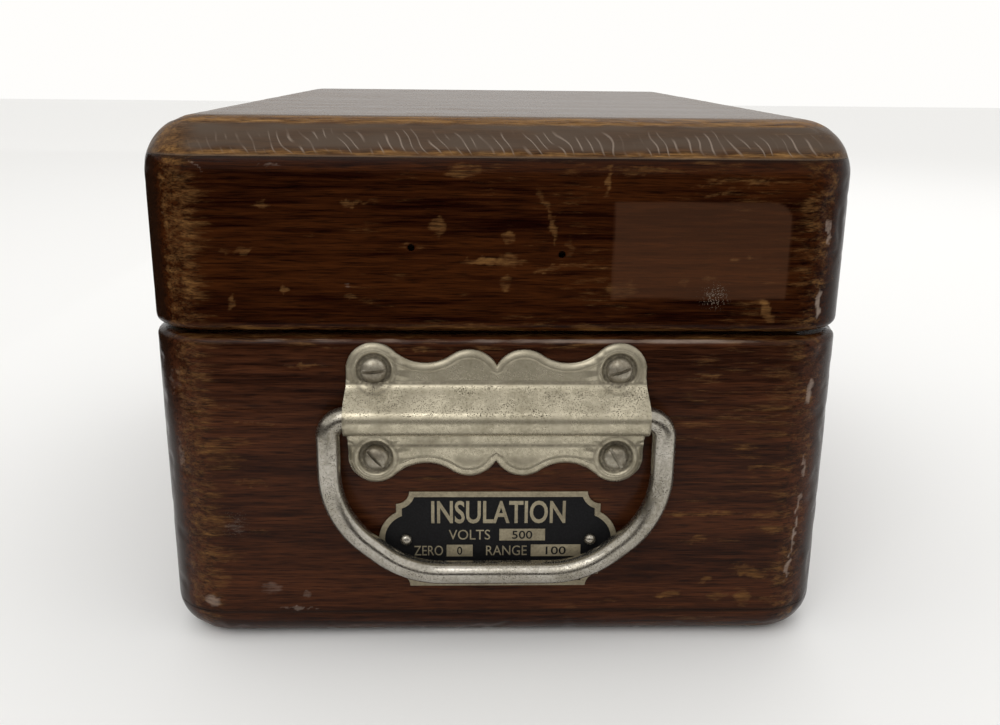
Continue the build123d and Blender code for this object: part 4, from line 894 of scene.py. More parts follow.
def nameplate_outline(inset):
    """The whole outline, anticlockwise when seen from the front."""
    quarter = nameplate_quarter(inset)
    upper = quarter[::-1] + [(-x, z) for x, z in quarter]
    lower = [(x, -z) for x, z in reversed(upper)]
    outline = upper + lower
    kept = []
    for point in outline:
        if not kept or math.dist(point, kept[-1]) > 0.01:
            kept.append(point)
    if math.dist(kept[0], kept[-1]) < 0.01:
        kept.pop()
    return kept


def front_place(x, z, out):
    """A point in front of the case's handle end, from millimetres."""
    return Vector((x * MM, FRONT - out * MM, z * MM + PLATE_Z))


def slab(bm, outline, low, high):
    """A flat closed solid on the handle end, between two distances out from the wood."""
    near = [bm.verts.new(front_place(x, z, low)) for x, z in outline]
    far = [bm.verts.new(front_place(x, z, high)) for x, z in outline]
    bm.faces.new(near)
    bm.faces.new(far)
    count = len(outline)
    for index in range(count):
        after = (index + 1) % count
        bm.faces.new((near[index], near[after], far[after], far[index]))


def build_nameplate(field_paint, border_metal):
    """The etched plate: black field, raised border, lettering and blank fields in bare metal."""
    bm = bmesh.new()
    slab(bm, nameplate_outline(0.4), 0.0, 0.36)
    bmesh.ops.recalc_face_normals(bm, faces=bm.faces[:])
    piece = new_piece(
        "nameplate_field",
        mesh_from(bm, "nameplate_field", False),
        "case",
        [field_paint],
        ("nameplate",),
    )
    bm = bmesh.new()
    outer, inner = nameplate_outline(0.0), nameplate_outline(BORDER)
    rings = []
    for outline, out in ((outer, 0.0), (outer, 0.6), (inner, 0.6), (inner, 0.0)):
        rings.append([bm.verts.new(front_place(x, z, out)) for x, z in outline])
    for first, second in zip(rings, rings[1:] + rings[:1]):
        count = len(first)
        for index in range(count):
            after = (index + 1) % count
            bm.faces.new((first[index], first[after], second[after], second[index]))
    bmesh.ops.recalc_face_normals(bm, faces=bm.faces[:])
    piece = new_piece(
        "nameplate_border", mesh_from(bm, "nameplate_border", False), "case", [border_metal]
    )
    soft_edges(piece, 0.12 * MM, 2, 40.0)
    bm = bmesh.new()
    blanks = ((0.3, 14.3, -0.5, 3.4), (-15.8, -7.8, -5.8, -1.9), (10.0, 25.3, -5.8, -1.9))
    for left, right, low, high in blanks:
        slab(bm, [(left, low), (right, low), (right, high), (left, high)], 0.2, 0.5)
    bmesh.ops.recalc_face_normals(bm, faces=bm.faces[:])
    piece = new_piece(
        "nameplate_blanks", mesh_from(bm, "nameplate_blanks", False), "case", [border_metal]
    )
    soft_edges(piece, 0.05 * MM, 1, 40.0)
    upright = Matrix(((1, 0, 0), (0, 0, -1), (0, 1, 0))).to_4x4()
    words = (
        ("INSULATION", -20.4, 20.4, 5.2, 12.7, 0.018),
        ("VOLTS", -15.1, -2.5, -0.2, 3.1, 0.0),
        ("ZERO", -25.7, -16.9, -5.5, -2.2, 0.0),
        ("RANGE", -3.7, 8.8, -5.5, -2.2, 0.0),
    )
    meshes = []
    for word, left, right, low, high, weight in words:
        mesh = word_mesh(word, (right - left) * MM, (high - low) * MM, 0.3 * MM, weight)
        middle = front_place((left + right) / 2, (low + high) / 2, 0.22)
        mesh.transform(Matrix.Translation(middle) @ upright)
        meshes.append(mesh)
    lettering = join_meshes("nameplate_lettering", meshes)
    new_piece(lettering.name, lettering, "case", [border_metal])
    digits = (("500", 4.2, 10.4, 0.1, 2.8), ("0", -12.6, -11.0, -5.2, -2.5), ("100", 14.6, 20.8, -5.2, -2.5))
    meshes = []
    for word, left, right, low, high in digits:
        mesh = word_mesh(word, (right - left) * MM, (high - low) * MM, 0.04 * MM, 0.01)
        middle = front_place((left + right) / 2, (low + high) / 2, 0.51)
        mesh.transform(Matrix.Translation(middle) @ upright)
        meshes.append(mesh)
    stamped = join_meshes("nameplate_digits", meshes)
    new_piece(stamped.name, stamped, "case", [field_paint])


def word_mesh(word, width, height, thickness, weight=0.0):
    """A word as a closed mesh lying flat, centred, stretched to the given width and height."""
    curve = bpy.data.curves.new("word", "FONT")
    curve.body = word
    curve.align_x = "CENTER"
    curve.size = 1.0
    curve.offset = weight
    curve.extrude = 0.5
    curve.resolution_u = 4
    holder = bpy.data.objects.new("word", curve)
    bpy.context.scene.collection.objects.link(holder)
    mesh = finished_mesh(holder)
    xs = [v.co.x for v in mesh.vertices]
    ys = [v.co.y for v in mesh.vertices]
    middle = Vector(((min(xs) + max(xs)) / 2, (min(ys) + max(ys)) / 2, 0))
    stretch = (width / (max(xs) - min(xs)), height / (max(ys) - min(ys)), thickness)
    mesh.transform(Matrix.Diagonal((*stretch, 1)) @ Matrix.Translation(-middle))
    return mesh


# ---------------------------------------------------------------- materials
def empty_material(name):
    """A new node material with only its output, and its tree."""
    material = bpy.data.materials.new(name)
    material.use_nodes = True
    tree = material.node_tree
    tree.nodes.clear()
    return material, tree.nodes, tree.links


def lay_out(nodes, groups):
    """Puts the nodes of each effect in its own labelled frame, one row of nodes to a frame."""
    for row, (label, members) in enumerate(groups):
        box = nodes.new("NodeFrame")
        box.label = label
        for column, node in enumerate(members):
            node.parent = box
            node.location = (220 * column, -420 * row)


def aged_wood(name, grain_turn, stains, bares, grime_and_shade_colour, gloss, dust):
    """Varnished mahogany, rubbed through to golden wood wherever it has been knocked or handled.

    stains and bares are (dark, light) pairs of colours, and dust is how far the flat top is greyed by dust and
    painted sheen.
    The grain runs along X before grain_turn turns it.
    """
    material, nodes, links = empty_material(name)
    output = nodes.new("ShaderNodeOutputMaterial")
    output.label = "wood surface"
    surface = nodes.new("ShaderNodeBsdfPrincipled")
    surface.label = "varnished wood"
    surface.inputs["Specular IOR Level"].default_value = gloss
    links.new(surface.outputs["BSDF"], output.inputs["Surface"])

    place = nodes.new("ShaderNodeTexCoord")
    place.label = "place on the board"
    lay = nodes.new("ShaderNodeMapping")
    lay.label = "grain drawn out along the board"
    lay.inputs["Rotation"].default_value = (0.0, 0.0, grain_turn)
    lay.inputs["Scale"].default_value = (0.045, 1.0, 1.0)
    links.new(place.outputs["Object"], lay.inputs["Vector"])

    streaks = nodes.new("ShaderNodeTexNoise")
    streaks.label = "grain streaks"
    streaks.inputs["Scale"].default_value = 820.0
    streaks.inputs["Detail"].default_value = 5.0
    streaks.inputs["Roughness"].default_value = 0.62
    links.new(lay.outputs["Vector"], streaks.inputs["Vector"])
    pores = nodes.new("ShaderNodeTexNoise")
    pores.label = "open pores"
    pores.inputs["Scale"].default_value = 2900.0
    pores.inputs["Detail"].default_value = 2.0
    links.new(lay.outputs["Vector"], pores.inputs["Vector"])
    figure = nodes.new("ShaderNodeTexNoise")
    figure.label = "broad figure of the board"
    figure.inputs["Scale"].default_value = 70.0
    figure.inputs["Detail"].default_value = 3.0
    figure.inputs["Distortion"].default_value = 0.6
    links.new(lay.outputs["Vector"], figure.inputs["Vector"])
    grain = nodes.new("ShaderNodeMix")
    grain.label = "streaks over figure"
    grain.data_type = "FLOAT"
    grain.inputs["Factor"].default_value = 0.42
    links.new(streaks.outputs["Fac"], grain.inputs["A"])
    links.new(figure.outputs["Fac"], grain.inputs["B"])
    stain = nodes.new("ShaderNodeValToRGB")
    stain.label = "stain, dark to red"
    stain.color_ramp.elements[0].position = 0.40
    stain.color_ramp.elements[0].color = (*stains[0], 1)
    stain.color_ramp.elements[1].position = 0.62
    stain.color_ramp.elements[1].color = (*stains[1], 1)
    links.new(grain.outputs["Result"], stain.inputs["Fac"])

    wear = nodes.new("ShaderNodeAttribute")
    wear.label = "how far it is rubbed"
    wear.attribute_name = "wear"
    ragged_lay = nodes.new("ShaderNodeMapping")
    ragged_lay.label = "rubbing follows the grain"
    ragged_lay.inputs["Rotation"].default_value = (0.0, 0.0, grain_turn)
    ragged_lay.inputs["Scale"].default_value = (0.13, 1.0, 1.0)
    links.new(place.outputs["Object"], ragged_lay.inputs["Vector"])
    ragged = nodes.new("ShaderNodeTexNoise")
    ragged.label = "ragged edge of the rubbing"
    ragged.inputs["Scale"].default_value = 480.0
    ragged.inputs["Detail"].default_value = 7.0
    ragged.inputs["Roughness"].default_value = 0.74
    links.new(ragged_lay.outputs["Vector"], ragged.inputs["Vector"])
    reach = nodes.new("ShaderNodeMath")
    reach.label = "rubbing plus raggedness"
    reach.operation = "MULTIPLY_ADD"
    reach.inputs[1].default_value = 2.6
    links.new(ragged.outputs["Fac"], reach.inputs[0])
    links.new(wear.outputs["Fac"], reach.inputs[2])
    through = nodes.new("ShaderNodeMapRange")
    through.label = "rubbed through the stain"
    through.interpolation_type = "SMOOTHSTEP"
    through.inputs["From Min"].default_value = 1.60
    through.inputs["From Max"].default_value = 2.55
    through.inputs["To Max"].default_value = 0.92
    links.new(reach.outputs["Value"], through.inputs["Value"])
    bare = nodes.new("ShaderNodeValToRGB")
    bare.label = "bare golden wood"
    bare.color_ramp.elements[0].position = 0.34
    bare.color_ramp.elements[0].color = (*bares[0], 1)
    bare.color_ramp.elements[1].position = 0.68
    bare.color_ramp.elements[1].color = (*bares[1], 1)
    links.new(ragged.outputs["Fac"], bare.inputs["Fac"])
    rubbed = nodes.new("ShaderNodeMix")
    rubbed.label = "stain or bare wood"
    rubbed.data_type = "RGBA"
    links.new(through.outputs["Result"], rubbed.inputs["Factor"])
    links.new(stain.outputs["Color"], rubbed.inputs["A"])
    links.new(bare.outputs["Color"], rubbed.inputs["B"])

    pore_lines = nodes.new("ShaderNodeMapRange")
    pore_lines.label = "pores filled with dark wax"
    pore_lines.inputs["From Min"].default_value = 0.36
    pore_lines.inputs["From Max"].default_value = 0.50
    pore_lines.inputs["To Min"].default_value = 0.45
    links.new(pores.outputs["Fac"], pore_lines.inputs["Value"])
    pored = nodes.new("ShaderNodeMix")
    pored.label = "pores darken the wood"
    pored.data_type = "RGBA"
    pored.blend_type = "MULTIPLY"
    pored.inputs["Factor"].default_value = 1.0
    links.new(rubbed.outputs["Result"], pored.inputs["A"])
    links.new(pore_lines.outputs["Result"], pored.inputs["B"])

    # This attribute darkens the glue joints and the lid's roundover with soiling, and paints shade where the
    # upright corners turn to the sides.
    grime_and_shade = nodes.new("ShaderNodeAttribute")
    grime_and_shade.label = "old polish and grime"
    grime_and_shade.attribute_name = "grime_and_shade"
    grime_and_shade_mixed = nodes.new("ShaderNodeMix")
    grime_and_shade_mixed.label = "grime over wood"
    grime_and_shade_mixed.data_type = "RGBA"
    grime_and_shade_mixed.inputs["B"].default_value = (*grime_and_shade_colour, 1)
    links.new(grime_and_shade.outputs["Fac"], grime_and_shade_mixed.inputs["Factor"])
    links.new(pored.outputs["Result"], grime_and_shade_mixed.inputs["A"])
    ghost = nodes.new("ShaderNodeAttribute")
    ghost.label = "where a label was"
    ghost.attribute_name = "ghost"
    ghost_share = nodes.new("ShaderNodeMath")
    ghost_share.label = "thin film of old glue"
    ghost_share.operation = "MULTIPLY"
    ghost_share.inputs[1].default_value = 0.34
    links.new(ghost.outputs["Fac"], ghost_share.inputs[0])
    ghosted = nodes.new("ShaderNodeMix")
    ghosted.label = "dull rectangle"
    ghosted.data_type = "RGBA"
    ghosted.inputs["B"].default_value = (0.085, 0.036, 0.017, 1)
    links.new(ghost_share.outputs["Value"], ghosted.inputs["Factor"])
    links.new(grime_and_shade_mixed.outputs["Result"], ghosted.inputs["A"])

    # This attribute also carries a painted highlight, a pale stripe along the case's upper rim rounding.
    scuff_and_highlight = nodes.new("ShaderNodeAttribute")
    scuff_and_highlight.label = "scuffs"
    scuff_and_highlight.attribute_name = "scuff_and_highlight"
    scuff_and_highlight_break = nodes.new("ShaderNodeMath")
    scuff_and_highlight_break.label = "scuffs broken up"
    scuff_and_highlight_break.operation = "MULTIPLY_ADD"
    scuff_and_highlight_break.inputs[1].default_value = 0.9
    links.new(ragged.outputs["Fac"], scuff_and_highlight_break.inputs[0])
    links.new(scuff_and_highlight.outputs["Fac"], scuff_and_highlight_break.inputs[2])
    scuff_and_highlight_mask = nodes.new("ShaderNodeMapRange")
    scuff_and_highlight_mask.label = "scuffed spots"
    scuff_and_highlight_mask.inputs["From Min"].default_value = 0.85
    scuff_and_highlight_mask.inputs["From Max"].default_value = 1.35
    scuff_and_highlight_mask.inputs["To Max"].default_value = 0.6
    links.new(scuff_and_highlight_break.outputs["Value"], scuff_and_highlight_mask.inputs["Value"])
    # Pale colour for scuffs and for the painted rim highlight.
    scuffs_and_highlight = nodes.new("ShaderNodeMix")
    scuffs_and_highlight.label = "grey scuffs"
    scuffs_and_highlight.data_type = "RGBA"
    scuffs_and_highlight.inputs["B"].default_value = (0.29, 0.225, 0.185, 1)
    links.new(scuff_and_highlight_mask.outputs["Result"], scuffs_and_highlight.inputs["Factor"])
    links.new(ghosted.outputs["Result"], scuffs_and_highlight.inputs["A"])

    split = nodes.new("ShaderNodeSeparateXYZ")
    split.label = "along and up the box"
    links.new(place.outputs["Object"], split.inputs["Vector"])
    slant = nodes.new("ShaderNodeMath")
    slant.label = "slanting rows"
    slant.operation = "MULTIPLY_ADD"
    slant.inputs[1].default_value = 0.75
    links.new(split.outputs["Z"], slant.inputs[0])
    links.new(split.outputs["X"], slant.inputs[2])
    wander = nodes.new("ShaderNodeTexNoise")
    wander.label = "how far the rows wander"
    wander.inputs["Scale"].default_value = 90.0
    wander.inputs["Detail"].default_value = 1.0
    links.new(place.outputs["Object"], wander.inputs["Vector"])
    wandered = nodes.new("ShaderNodeMath")
    wandered.label = "rows wander"
    wandered.operation = "MULTIPLY_ADD"
    wandered.inputs[1].default_value = 0.007
    links.new(wander.outputs["Fac"], wandered.inputs[0])
    links.new(slant.outputs["Value"], wandered.inputs[2])
    pitch = nodes.new("ShaderNodeMath")
    pitch.label = "one turn for each nick"
    pitch.operation = "MULTIPLY"
    pitch.inputs[1].default_value = math.tau / (TOOL_MARK_PITCH * MM)
    links.new(wandered.outputs["Value"], pitch.inputs[0])
    wave = nodes.new("ShaderNodeMath")
    wave.label = "rows of nicks"
    wave.operation = "SINE"
    links.new(pitch.outputs["Value"], wave.inputs[0])
    crest = nodes.new("ShaderNodeMapRange")
    crest.label = "narrow nicks"
    crest.inputs["From Min"].default_value = 0.68
    links.new(wave.outputs["Value"], crest.inputs["Value"])
    nick = nodes.new("ShaderNodeAttribute")
    nick.label = "where the cutter chattered"
    nick.attribute_name = "nick"
    cut = nodes.new("ShaderNodeMath")
    cut.label = "nicks only there"
    cut.operation = "MULTIPLY"
    links.new(crest.outputs["Result"], cut.inputs[0])
    links.new(nick.outputs["Fac"], cut.inputs[1])
    # Painted highlight: the nicks are coloured pale for the glint of light on the cut marks, which the bump below
    # also cuts in.
    nick_highlight_share = nodes.new("ShaderNodeMath")
    nick_highlight_share.label = "how pale the nicks are"
    nick_highlight_share.operation = "MULTIPLY"
    nick_highlight_share.inputs[1].default_value = 0.62
    links.new(cut.outputs["Value"], nick_highlight_share.inputs[0])
    nicks_with_highlight = nodes.new("ShaderNodeMix")
    nicks_with_highlight.label = "pale nicks"
    nicks_with_highlight.data_type = "RGBA"
    nicks_with_highlight.inputs["B"].default_value = (0.30, 0.235, 0.19, 1)
    links.new(nick_highlight_share.outputs["Value"], nicks_with_highlight.inputs["Factor"])
    links.new(scuffs_and_highlight.outputs["Result"], nicks_with_highlight.inputs["A"])

    speckle = nodes.new("ShaderNodeAttribute")
    speckle.label = "splashed with paint here"
    speckle.attribute_name = "speckle"
    dots = nodes.new("ShaderNodeTexVoronoi")
    dots.label = "fine white dots"
    dots.inputs["Scale"].default_value = 2300.0
    links.new(place.outputs["Object"], dots.inputs["Vector"])
    dot_size = nodes.new("ShaderNodeMath")
    dot_size.label = "dots grow towards the middle"
    dot_size.operation = "MULTIPLY"
    dot_size.inputs[1].default_value = 0.36
    links.new(speckle.outputs["Fac"], dot_size.inputs[0])
    dot_mask = nodes.new("ShaderNodeMath")
    dot_mask.label = "inside a dot"
    dot_mask.operation = "LESS_THAN"
    links.new(dots.outputs["Distance"], dot_mask.inputs[0])
    links.new(dot_size.outputs["Value"], dot_mask.inputs[1])
    dotted = nodes.new("ShaderNodeMix")
    dotted.label = "white dots"
    dotted.data_type = "RGBA"
    dotted.inputs["B"].default_value = (0.12, 0.09, 0.068, 1)
    links.new(dot_mask.outputs["Value"], dotted.inputs["Factor"])
    links.new(nicks_with_highlight.outputs["Result"], dotted.inputs["A"])

    # Dust and painted sheen: the flat top is mixed towards pale grey-brown, partly dust, partly the sheen of
    # light on the top.
    flat_top = nodes.new("ShaderNodeMapRange")
    flat_top.label = "only the flat top"
    flat_top.inputs["From Min"].default_value = LID_HIGH - 0.45 * MM
    flat_top.inputs["From Max"].default_value = LID_HIGH - 0.15 * MM
    flat_top.inputs["To Max"].default_value = dust
    links.new(split.outputs["Z"], flat_top.inputs["Value"])
    uneven_dust_and_sheen = nodes.new("ShaderNodeMapRange")
    uneven_dust_and_sheen.label = "dust lies unevenly"
    uneven_dust_and_sheen.inputs["From Min"].default_value = 0.2
    uneven_dust_and_sheen.inputs["From Max"].default_value = 0.75
    uneven_dust_and_sheen.inputs["To Min"].default_value = 0.72
    links.new(grain.outputs["Result"], uneven_dust_and_sheen.inputs["Value"])
    dust_and_sheen_share = nodes.new("ShaderNodeMath")
    dust_and_sheen_share.label = "dust on the top"
    dust_and_sheen_share.operation = "MULTIPLY"
    links.new(flat_top.outputs["Result"], dust_and_sheen_share.inputs[0])
    links.new(uneven_dust_and_sheen.outputs["Result"], dust_and_sheen_share.inputs[1])
    dust_and_sheen_top = nodes.new("ShaderNodeMix")
    dust_and_sheen_top.label = "bleached and dusty top"
    dust_and_sheen_top.data_type = "RGBA"
    dust_and_sheen_top.inputs["B"].default_value = (0.105, 0.078, 0.056, 1)
    links.new(dust_and_sheen_share.outputs["Value"], dust_and_sheen_top.inputs["Factor"])
    links.new(dotted.outputs["Result"], dust_and_sheen_top.inputs["A"])
    links.new(dust_and_sheen_top.outputs["Result"], surface.inputs["Base Color"])

    shine = nodes.new("ShaderNodeMapRange")
    shine.label = "varnish shine, dulled by the grain"
    shine.inputs["To Min"].default_value = 0.14
    shine.inputs["To Max"].default_value = 0.34
    links.new(grain.outputs["Result"], shine.inputs["Value"])
    dull = nodes.new("ShaderNodeMath")
    dull.label = "bare wood, glue and dust are dull"
    dull.operation = "ADD"
    dull.use_clamp = True
    links.new(through.outputs["Result"], dull.inputs[0])
    links.new(ghost_share.outputs["Value"], dull.inputs[1])
    rough = nodes.new("ShaderNodeMath")
    rough.label = "roughness"
    rough.operation = "MULTIPLY_ADD"
    rough.inputs[1].default_value = 0.22
    links.new(dull.outputs["Value"], rough.inputs[0])
    links.new(shine.outputs["Result"], rough.inputs[2])
    links.new(rough.outputs["Value"], surface.inputs["Roughness"])

    grain_bump = nodes.new("ShaderNodeBump")
    grain_bump.label = "grain felt through the varnish"
    grain_bump.inputs["Strength"].default_value = 0.35
    grain_bump.inputs["Distance"].default_value = 0.00012
    links.new(streaks.outputs["Fac"], grain_bump.inputs["Height"])
    wear_bump = nodes.new("ShaderNodeBump")
    wear_bump.label = "rubbed places lie lower"
    wear_bump.invert = True
    wear_bump.inputs["Strength"].default_value = 0.5
    wear_bump.inputs["Distance"].default_value = 0.00008
    links.new(through.outputs["Result"], wear_bump.inputs["Height"])
    links.new(grain_bump.outputs["Normal"], wear_bump.inputs["Normal"])
    cut_bump = nodes.new("ShaderNodeBump")
    cut_bump.label = "nicks are cut in"
    cut_bump.invert = True
    cut_bump.inputs["Strength"].default_value = 0.8
    cut_bump.inputs["Distance"].default_value = 0.0004
    links.new(cut.outputs["Value"], cut_bump.inputs["Height"])
    links.new(wear_bump.outputs["Normal"], cut_bump.inputs["Normal"])
    links.new(cut_bump.outputs["Normal"], surface.inputs["Normal"])

    lay_out(
        nodes,
        (
            ("Grain and stain", (place, lay, streaks, pores, figure, grain, stain)),
            ("Rubbed to bare wood", (ragged_lay, ragged, wear, reach, through, bare, rubbed, pore_lines, pored)),
            ("Grime and old label", (grime_and_shade, grime_and_shade_mixed, ghost, ghost_share, ghosted)),
            ("Scuffs", (scuff_and_highlight, scuff_and_highlight_break, scuff_and_highlight_mask, scuffs_and_highlight)),
            ("Paint dots", (speckle, dots, dot_size, dot_mask, dotted)),
            ("Cutter marks", (split, slant, wander, wandered, pitch, wave, crest, nick, cut, nick_highlight_share, nicks_with_highlight)),
            ("Dusty top", (flat_top, uneven_dust_and_sheen, dust_and_sheen_share, dust_and_sheen_top)),
            ("Shine and touch", (shine, dull, rough, grain_bump, wear_bump, cut_bump, surface, output)),
        ),
    )
    return material


def raw_wood(name, light, dark):
    """Planed wood without stain, as on the inside of the boards."""
    material, nodes, links = empty_material(name)
    output = nodes.new("ShaderNodeOutputMaterial")
    output.label = "inside surface"
    surface = nodes.new("ShaderNodeBsdfPrincipled")
    surface.label = "planed wood"
    surface.inputs["Specular IOR Level"].default_value = 0.3
    links.new(surface.outputs["BSDF"], output.inputs["Surface"])
    place = nodes.new("ShaderNodeTexCoord")
    place.label = "place on the board"
    lay = nodes.new("ShaderNodeMapping")
    lay.label = "grain drawn out flat"
    lay.inputs["Scale"].default_value = (0.08, 0.08, 1.0)
    links.new(place.outputs["Object"], lay.inputs["Vector"])
    streaks = nodes.new("ShaderNodeTexNoise")
    streaks.label = "grain"
    streaks.inputs["Scale"].default_value = 600.0
    streaks.inputs["Detail"].default_value = 5.0
    links.new(lay.outputs["Vector"], streaks.inputs["Vector"])
    blotch = nodes.new("ShaderNodeTexNoise")
    blotch.label = "blotches of age"
    blotch.inputs["Scale"].default_value = 38.0
    blotch.inputs["Detail"].default_value = 3.0
    links.new(place.outputs["Object"], blotch.inputs["Vector"])
    colour = nodes.new("ShaderNodeValToRGB")
    colour.label = "wood colour"
    colour.color_ramp.elements[0].position = 0.33
    colour.color_ramp.elements[0].color = (*dark, 1)
    colour.color_ramp.elements[1].position = 0.67
    colour.color_ramp.elements[1].color = (*light, 1)
    links.new(streaks.outputs["Fac"], colour.inputs["Fac"])
    aged = nodes.new("ShaderNodeMix")
    aged.label = "darkened in blotches"
    aged.data_type = "RGBA"
    aged.blend_type = "MULTIPLY"
    aged.inputs["Factor"].default_value = 0.6
    links.new(colour.outputs["Color"], aged.inputs["A"])
    links.new(blotch.outputs["Fac"], aged.inputs["B"])
    links.new(aged.outputs["Result"], surface.inputs["Base Color"])
    rough = nodes.new("ShaderNodeMapRange")
    rough.label = "dry, a little uneven"
    rough.inputs["To Min"].default_value = 0.55
    rough.inputs["To Max"].default_value = 0.75
    links.new(streaks.outputs["Fac"], rough.inputs["Value"])
    links.new(rough.outputs["Result"], surface.inputs["Roughness"])
    touch = nodes.new("ShaderNodeBump")
    touch.label = "raised grain"
    touch.inputs["Strength"].default_value = 0.4
    touch.inputs["Distance"].default_value = 0.00015
    links.new(streaks.outputs["Fac"], touch.inputs["Height"])
    links.new(touch.outputs["Normal"], surface.inputs["Normal"])
    lay_out(
        nodes,
        (
            ("Grain", (place, lay, streaks, blotch, colour, aged)),
            ("Touch", (rough, touch, surface, output)),
        ),
    )
    return material


def old_metal(name, bright, tarnish, shine, metal_share, pitting, pit_level=(-1.0, 2.0)):
    """Worn plated metal: cloudy tarnish, black pits and fine rubbing.

    metal_share is below one where a dull film has grown over the plating. pit_level is the
    (lowest, highest) height in metres of a stretch where the pits lie thickest.
    """
    material, nodes, links = empty_material(name)
    output = nodes.new("ShaderNodeOutputMaterial")
    output.label = "metal surface"
    surface = nodes.new("ShaderNodeBsdfPrincipled")
    surface.label = "worn plating"
    surface.inputs["Metallic"].default_value = metal_share
    links.new(surface.outputs["BSDF"], output.inputs["Surface"])
    place = nodes.new("ShaderNodeTexCoord")
    place.label = "place on the piece"
    cloud = nodes.new("ShaderNodeTexNoise")
    cloud.label = "clouds of tarnish"
    cloud.inputs["Scale"].default_value = 95.0
    cloud.inputs["Detail"].default_value = 6.0
    cloud.inputs["Roughness"].default_value = 0.65
    links.new(place.outputs["Object"], cloud.inputs["Vector"])
    mottle = nodes.new("ShaderNodeTexNoise")
    mottle.label = "fine mottling"
    mottle.inputs["Scale"].default_value = 1100.0
    mottle.inputs["Detail"].default_value = 3.0
    links.new(place.outputs["Object"], mottle.inputs["Vector"])
    mottle_more = nodes.new("ShaderNodeMapRange")
    mottle_more.label = "mottling with more contrast"
    mottle_more.inputs["From Min"].default_value = 0.3
    mottle_more.inputs["From Max"].default_value = 0.6
    mottle_more.inputs["To Min"].default_value = 0.35
    links.new(mottle.outputs["Fac"], mottle_more.inputs["Value"])
    patina = nodes.new("ShaderNodeMix")
    patina.label = "clouds with mottling"
    patina.data_type = "FLOAT"
    patina.inputs["Factor"].default_value = 0.35
    links.new(cloud.outputs["Fac"], patina.inputs["A"])
    links.new(mottle.outputs["Fac"], patina.inputs["B"])
    colour = nodes.new("ShaderNodeValToRGB")
    colour.label = "tarnished to bright"
    colour.color_ramp.elements[0].position = 0.36
    colour.color_ramp.elements[0].color = (*tarnish, 1)
    colour.color_ramp.elements[1].position = 0.62
    colour.color_ramp.elements[1].color = (*bright, 1)
    links.new(patina.outputs["Result"], colour.inputs["Fac"])

    pits = nodes.new("ShaderNodeTexVoronoi")
    pits.label = "pits in the plating"
    pits.inputs["Scale"].default_value = 2300.0
    pits.inputs["Randomness"].default_value = 1.0
    links.new(place.outputs["Object"], pits.inputs["Vector"])
    pit_patch = nodes.new("ShaderNodeTexNoise")
    pit_patch.label = "where pits gather"
    pit_patch.inputs["Scale"].default_value = 210.0
    pit_patch.inputs["Detail"].default_value = 4.0
    links.new(place.outputs["Object"], pit_patch.inputs["Vector"])
    height = nodes.new("ShaderNodeSeparateXYZ")
    height.label = "height on the piece"
    links.new(place.outputs["Object"], height.inputs["Vector"])
    low, high = pit_level
    level = nodes.new("ShaderNodeMath")
    level.label = "on the pitted stretch"
    level.operation = "COMPARE"
    level.inputs[1].default_value = (low + high) / 2
    level.inputs[2].default_value = (high - low) / 2
    links.new(height.outputs["Z"], level.inputs[0])
    thick = nodes.new("ShaderNodeMapRange")
    thick.label = "size of the pits"
    thick.inputs["From Min"].default_value = 0.42
    thick.inputs["From Max"].default_value = 0.72
    thick.inputs["To Min"].default_value = 0.10 * pitting
    thick.inputs["To Max"].default_value = 0.25 * pitting
    links.new(pit_patch.outputs["Fac"], thick.inputs["Value"])
    denser = nodes.new("ShaderNodeMath")
    denser.label = "thicker on that stretch"
    denser.operation = "MULTIPLY_ADD"
    denser.inputs[1].default_value = 0.15 * pitting
    links.new(level.outputs["Value"], denser.inputs[0])
    links.new(thick.outputs["Result"], denser.inputs[2])
    inside = nodes.new("ShaderNodeMath")
    inside.label = "inside a pit"
    inside.operation = "SUBTRACT"
    links.new(denser.outputs["Value"], inside.inputs[0])
    links.new(pits.outputs["Distance"], inside.inputs[1])
    pit = nodes.new("ShaderNodeMapRange")
    pit.label = "pit with a soft rim"
    pit.inputs["From Min"].default_value = -0.03
    pit.inputs["From Max"].default_value = 0.10
    links.new(inside.outputs["Value"], pit.inputs["Value"])
    # On the handle plate this attribute carries painted shade in the dishes and creases, under the barrel and
    # over the lower flange, as well as soiling.
    grime_and_shade = nodes.new("ShaderNodeAttribute")
    grime_and_shade.label = "grime in the hollows"
    grime_and_shade.attribute_name = "grime_and_shade"
    grime_and_shade_break = nodes.new("ShaderNodeMath")
    grime_and_shade_break.label = "grime broken by mottling"
    grime_and_shade_break.operation = "MULTIPLY"
    grime_and_shade_break.use_clamp = True
    links.new(grime_and_shade.outputs["Fac"], grime_and_shade_break.inputs[0])
    links.new(mottle_more.outputs["Result"], grime_and_shade_break.inputs[1])
    pits_grime_and_shade = nodes.new("ShaderNodeMath")
    pits_grime_and_shade.label = "pits and grime together"
    pits_grime_and_shade.operation = "MAXIMUM"
    links.new(pit.outputs["Result"], pits_grime_and_shade.inputs[0])
    links.new(grime_and_shade_break.outputs["Value"], pits_grime_and_shade.inputs[1])
    # Dark colour for pits, soiling and painted shade.
    dark_pits_grime_and_shade = nodes.new("ShaderNodeMix")
    dark_pits_grime_and_shade.label = "dark in pits and hollows"
    dark_pits_grime_and_shade.data_type = "RGBA"
    dark_pits_grime_and_shade.inputs["B"].default_value = (0.050, 0.037, 0.025, 1)
    links.new(pits_grime_and_shade.outputs["Value"], dark_pits_grime_and_shade.inputs["Factor"])
    links.new(colour.outputs["Color"], dark_pits_grime_and_shade.inputs["A"])
    links.new(dark_pits_grime_and_shade.outputs["Result"], surface.inputs["Base Color"])

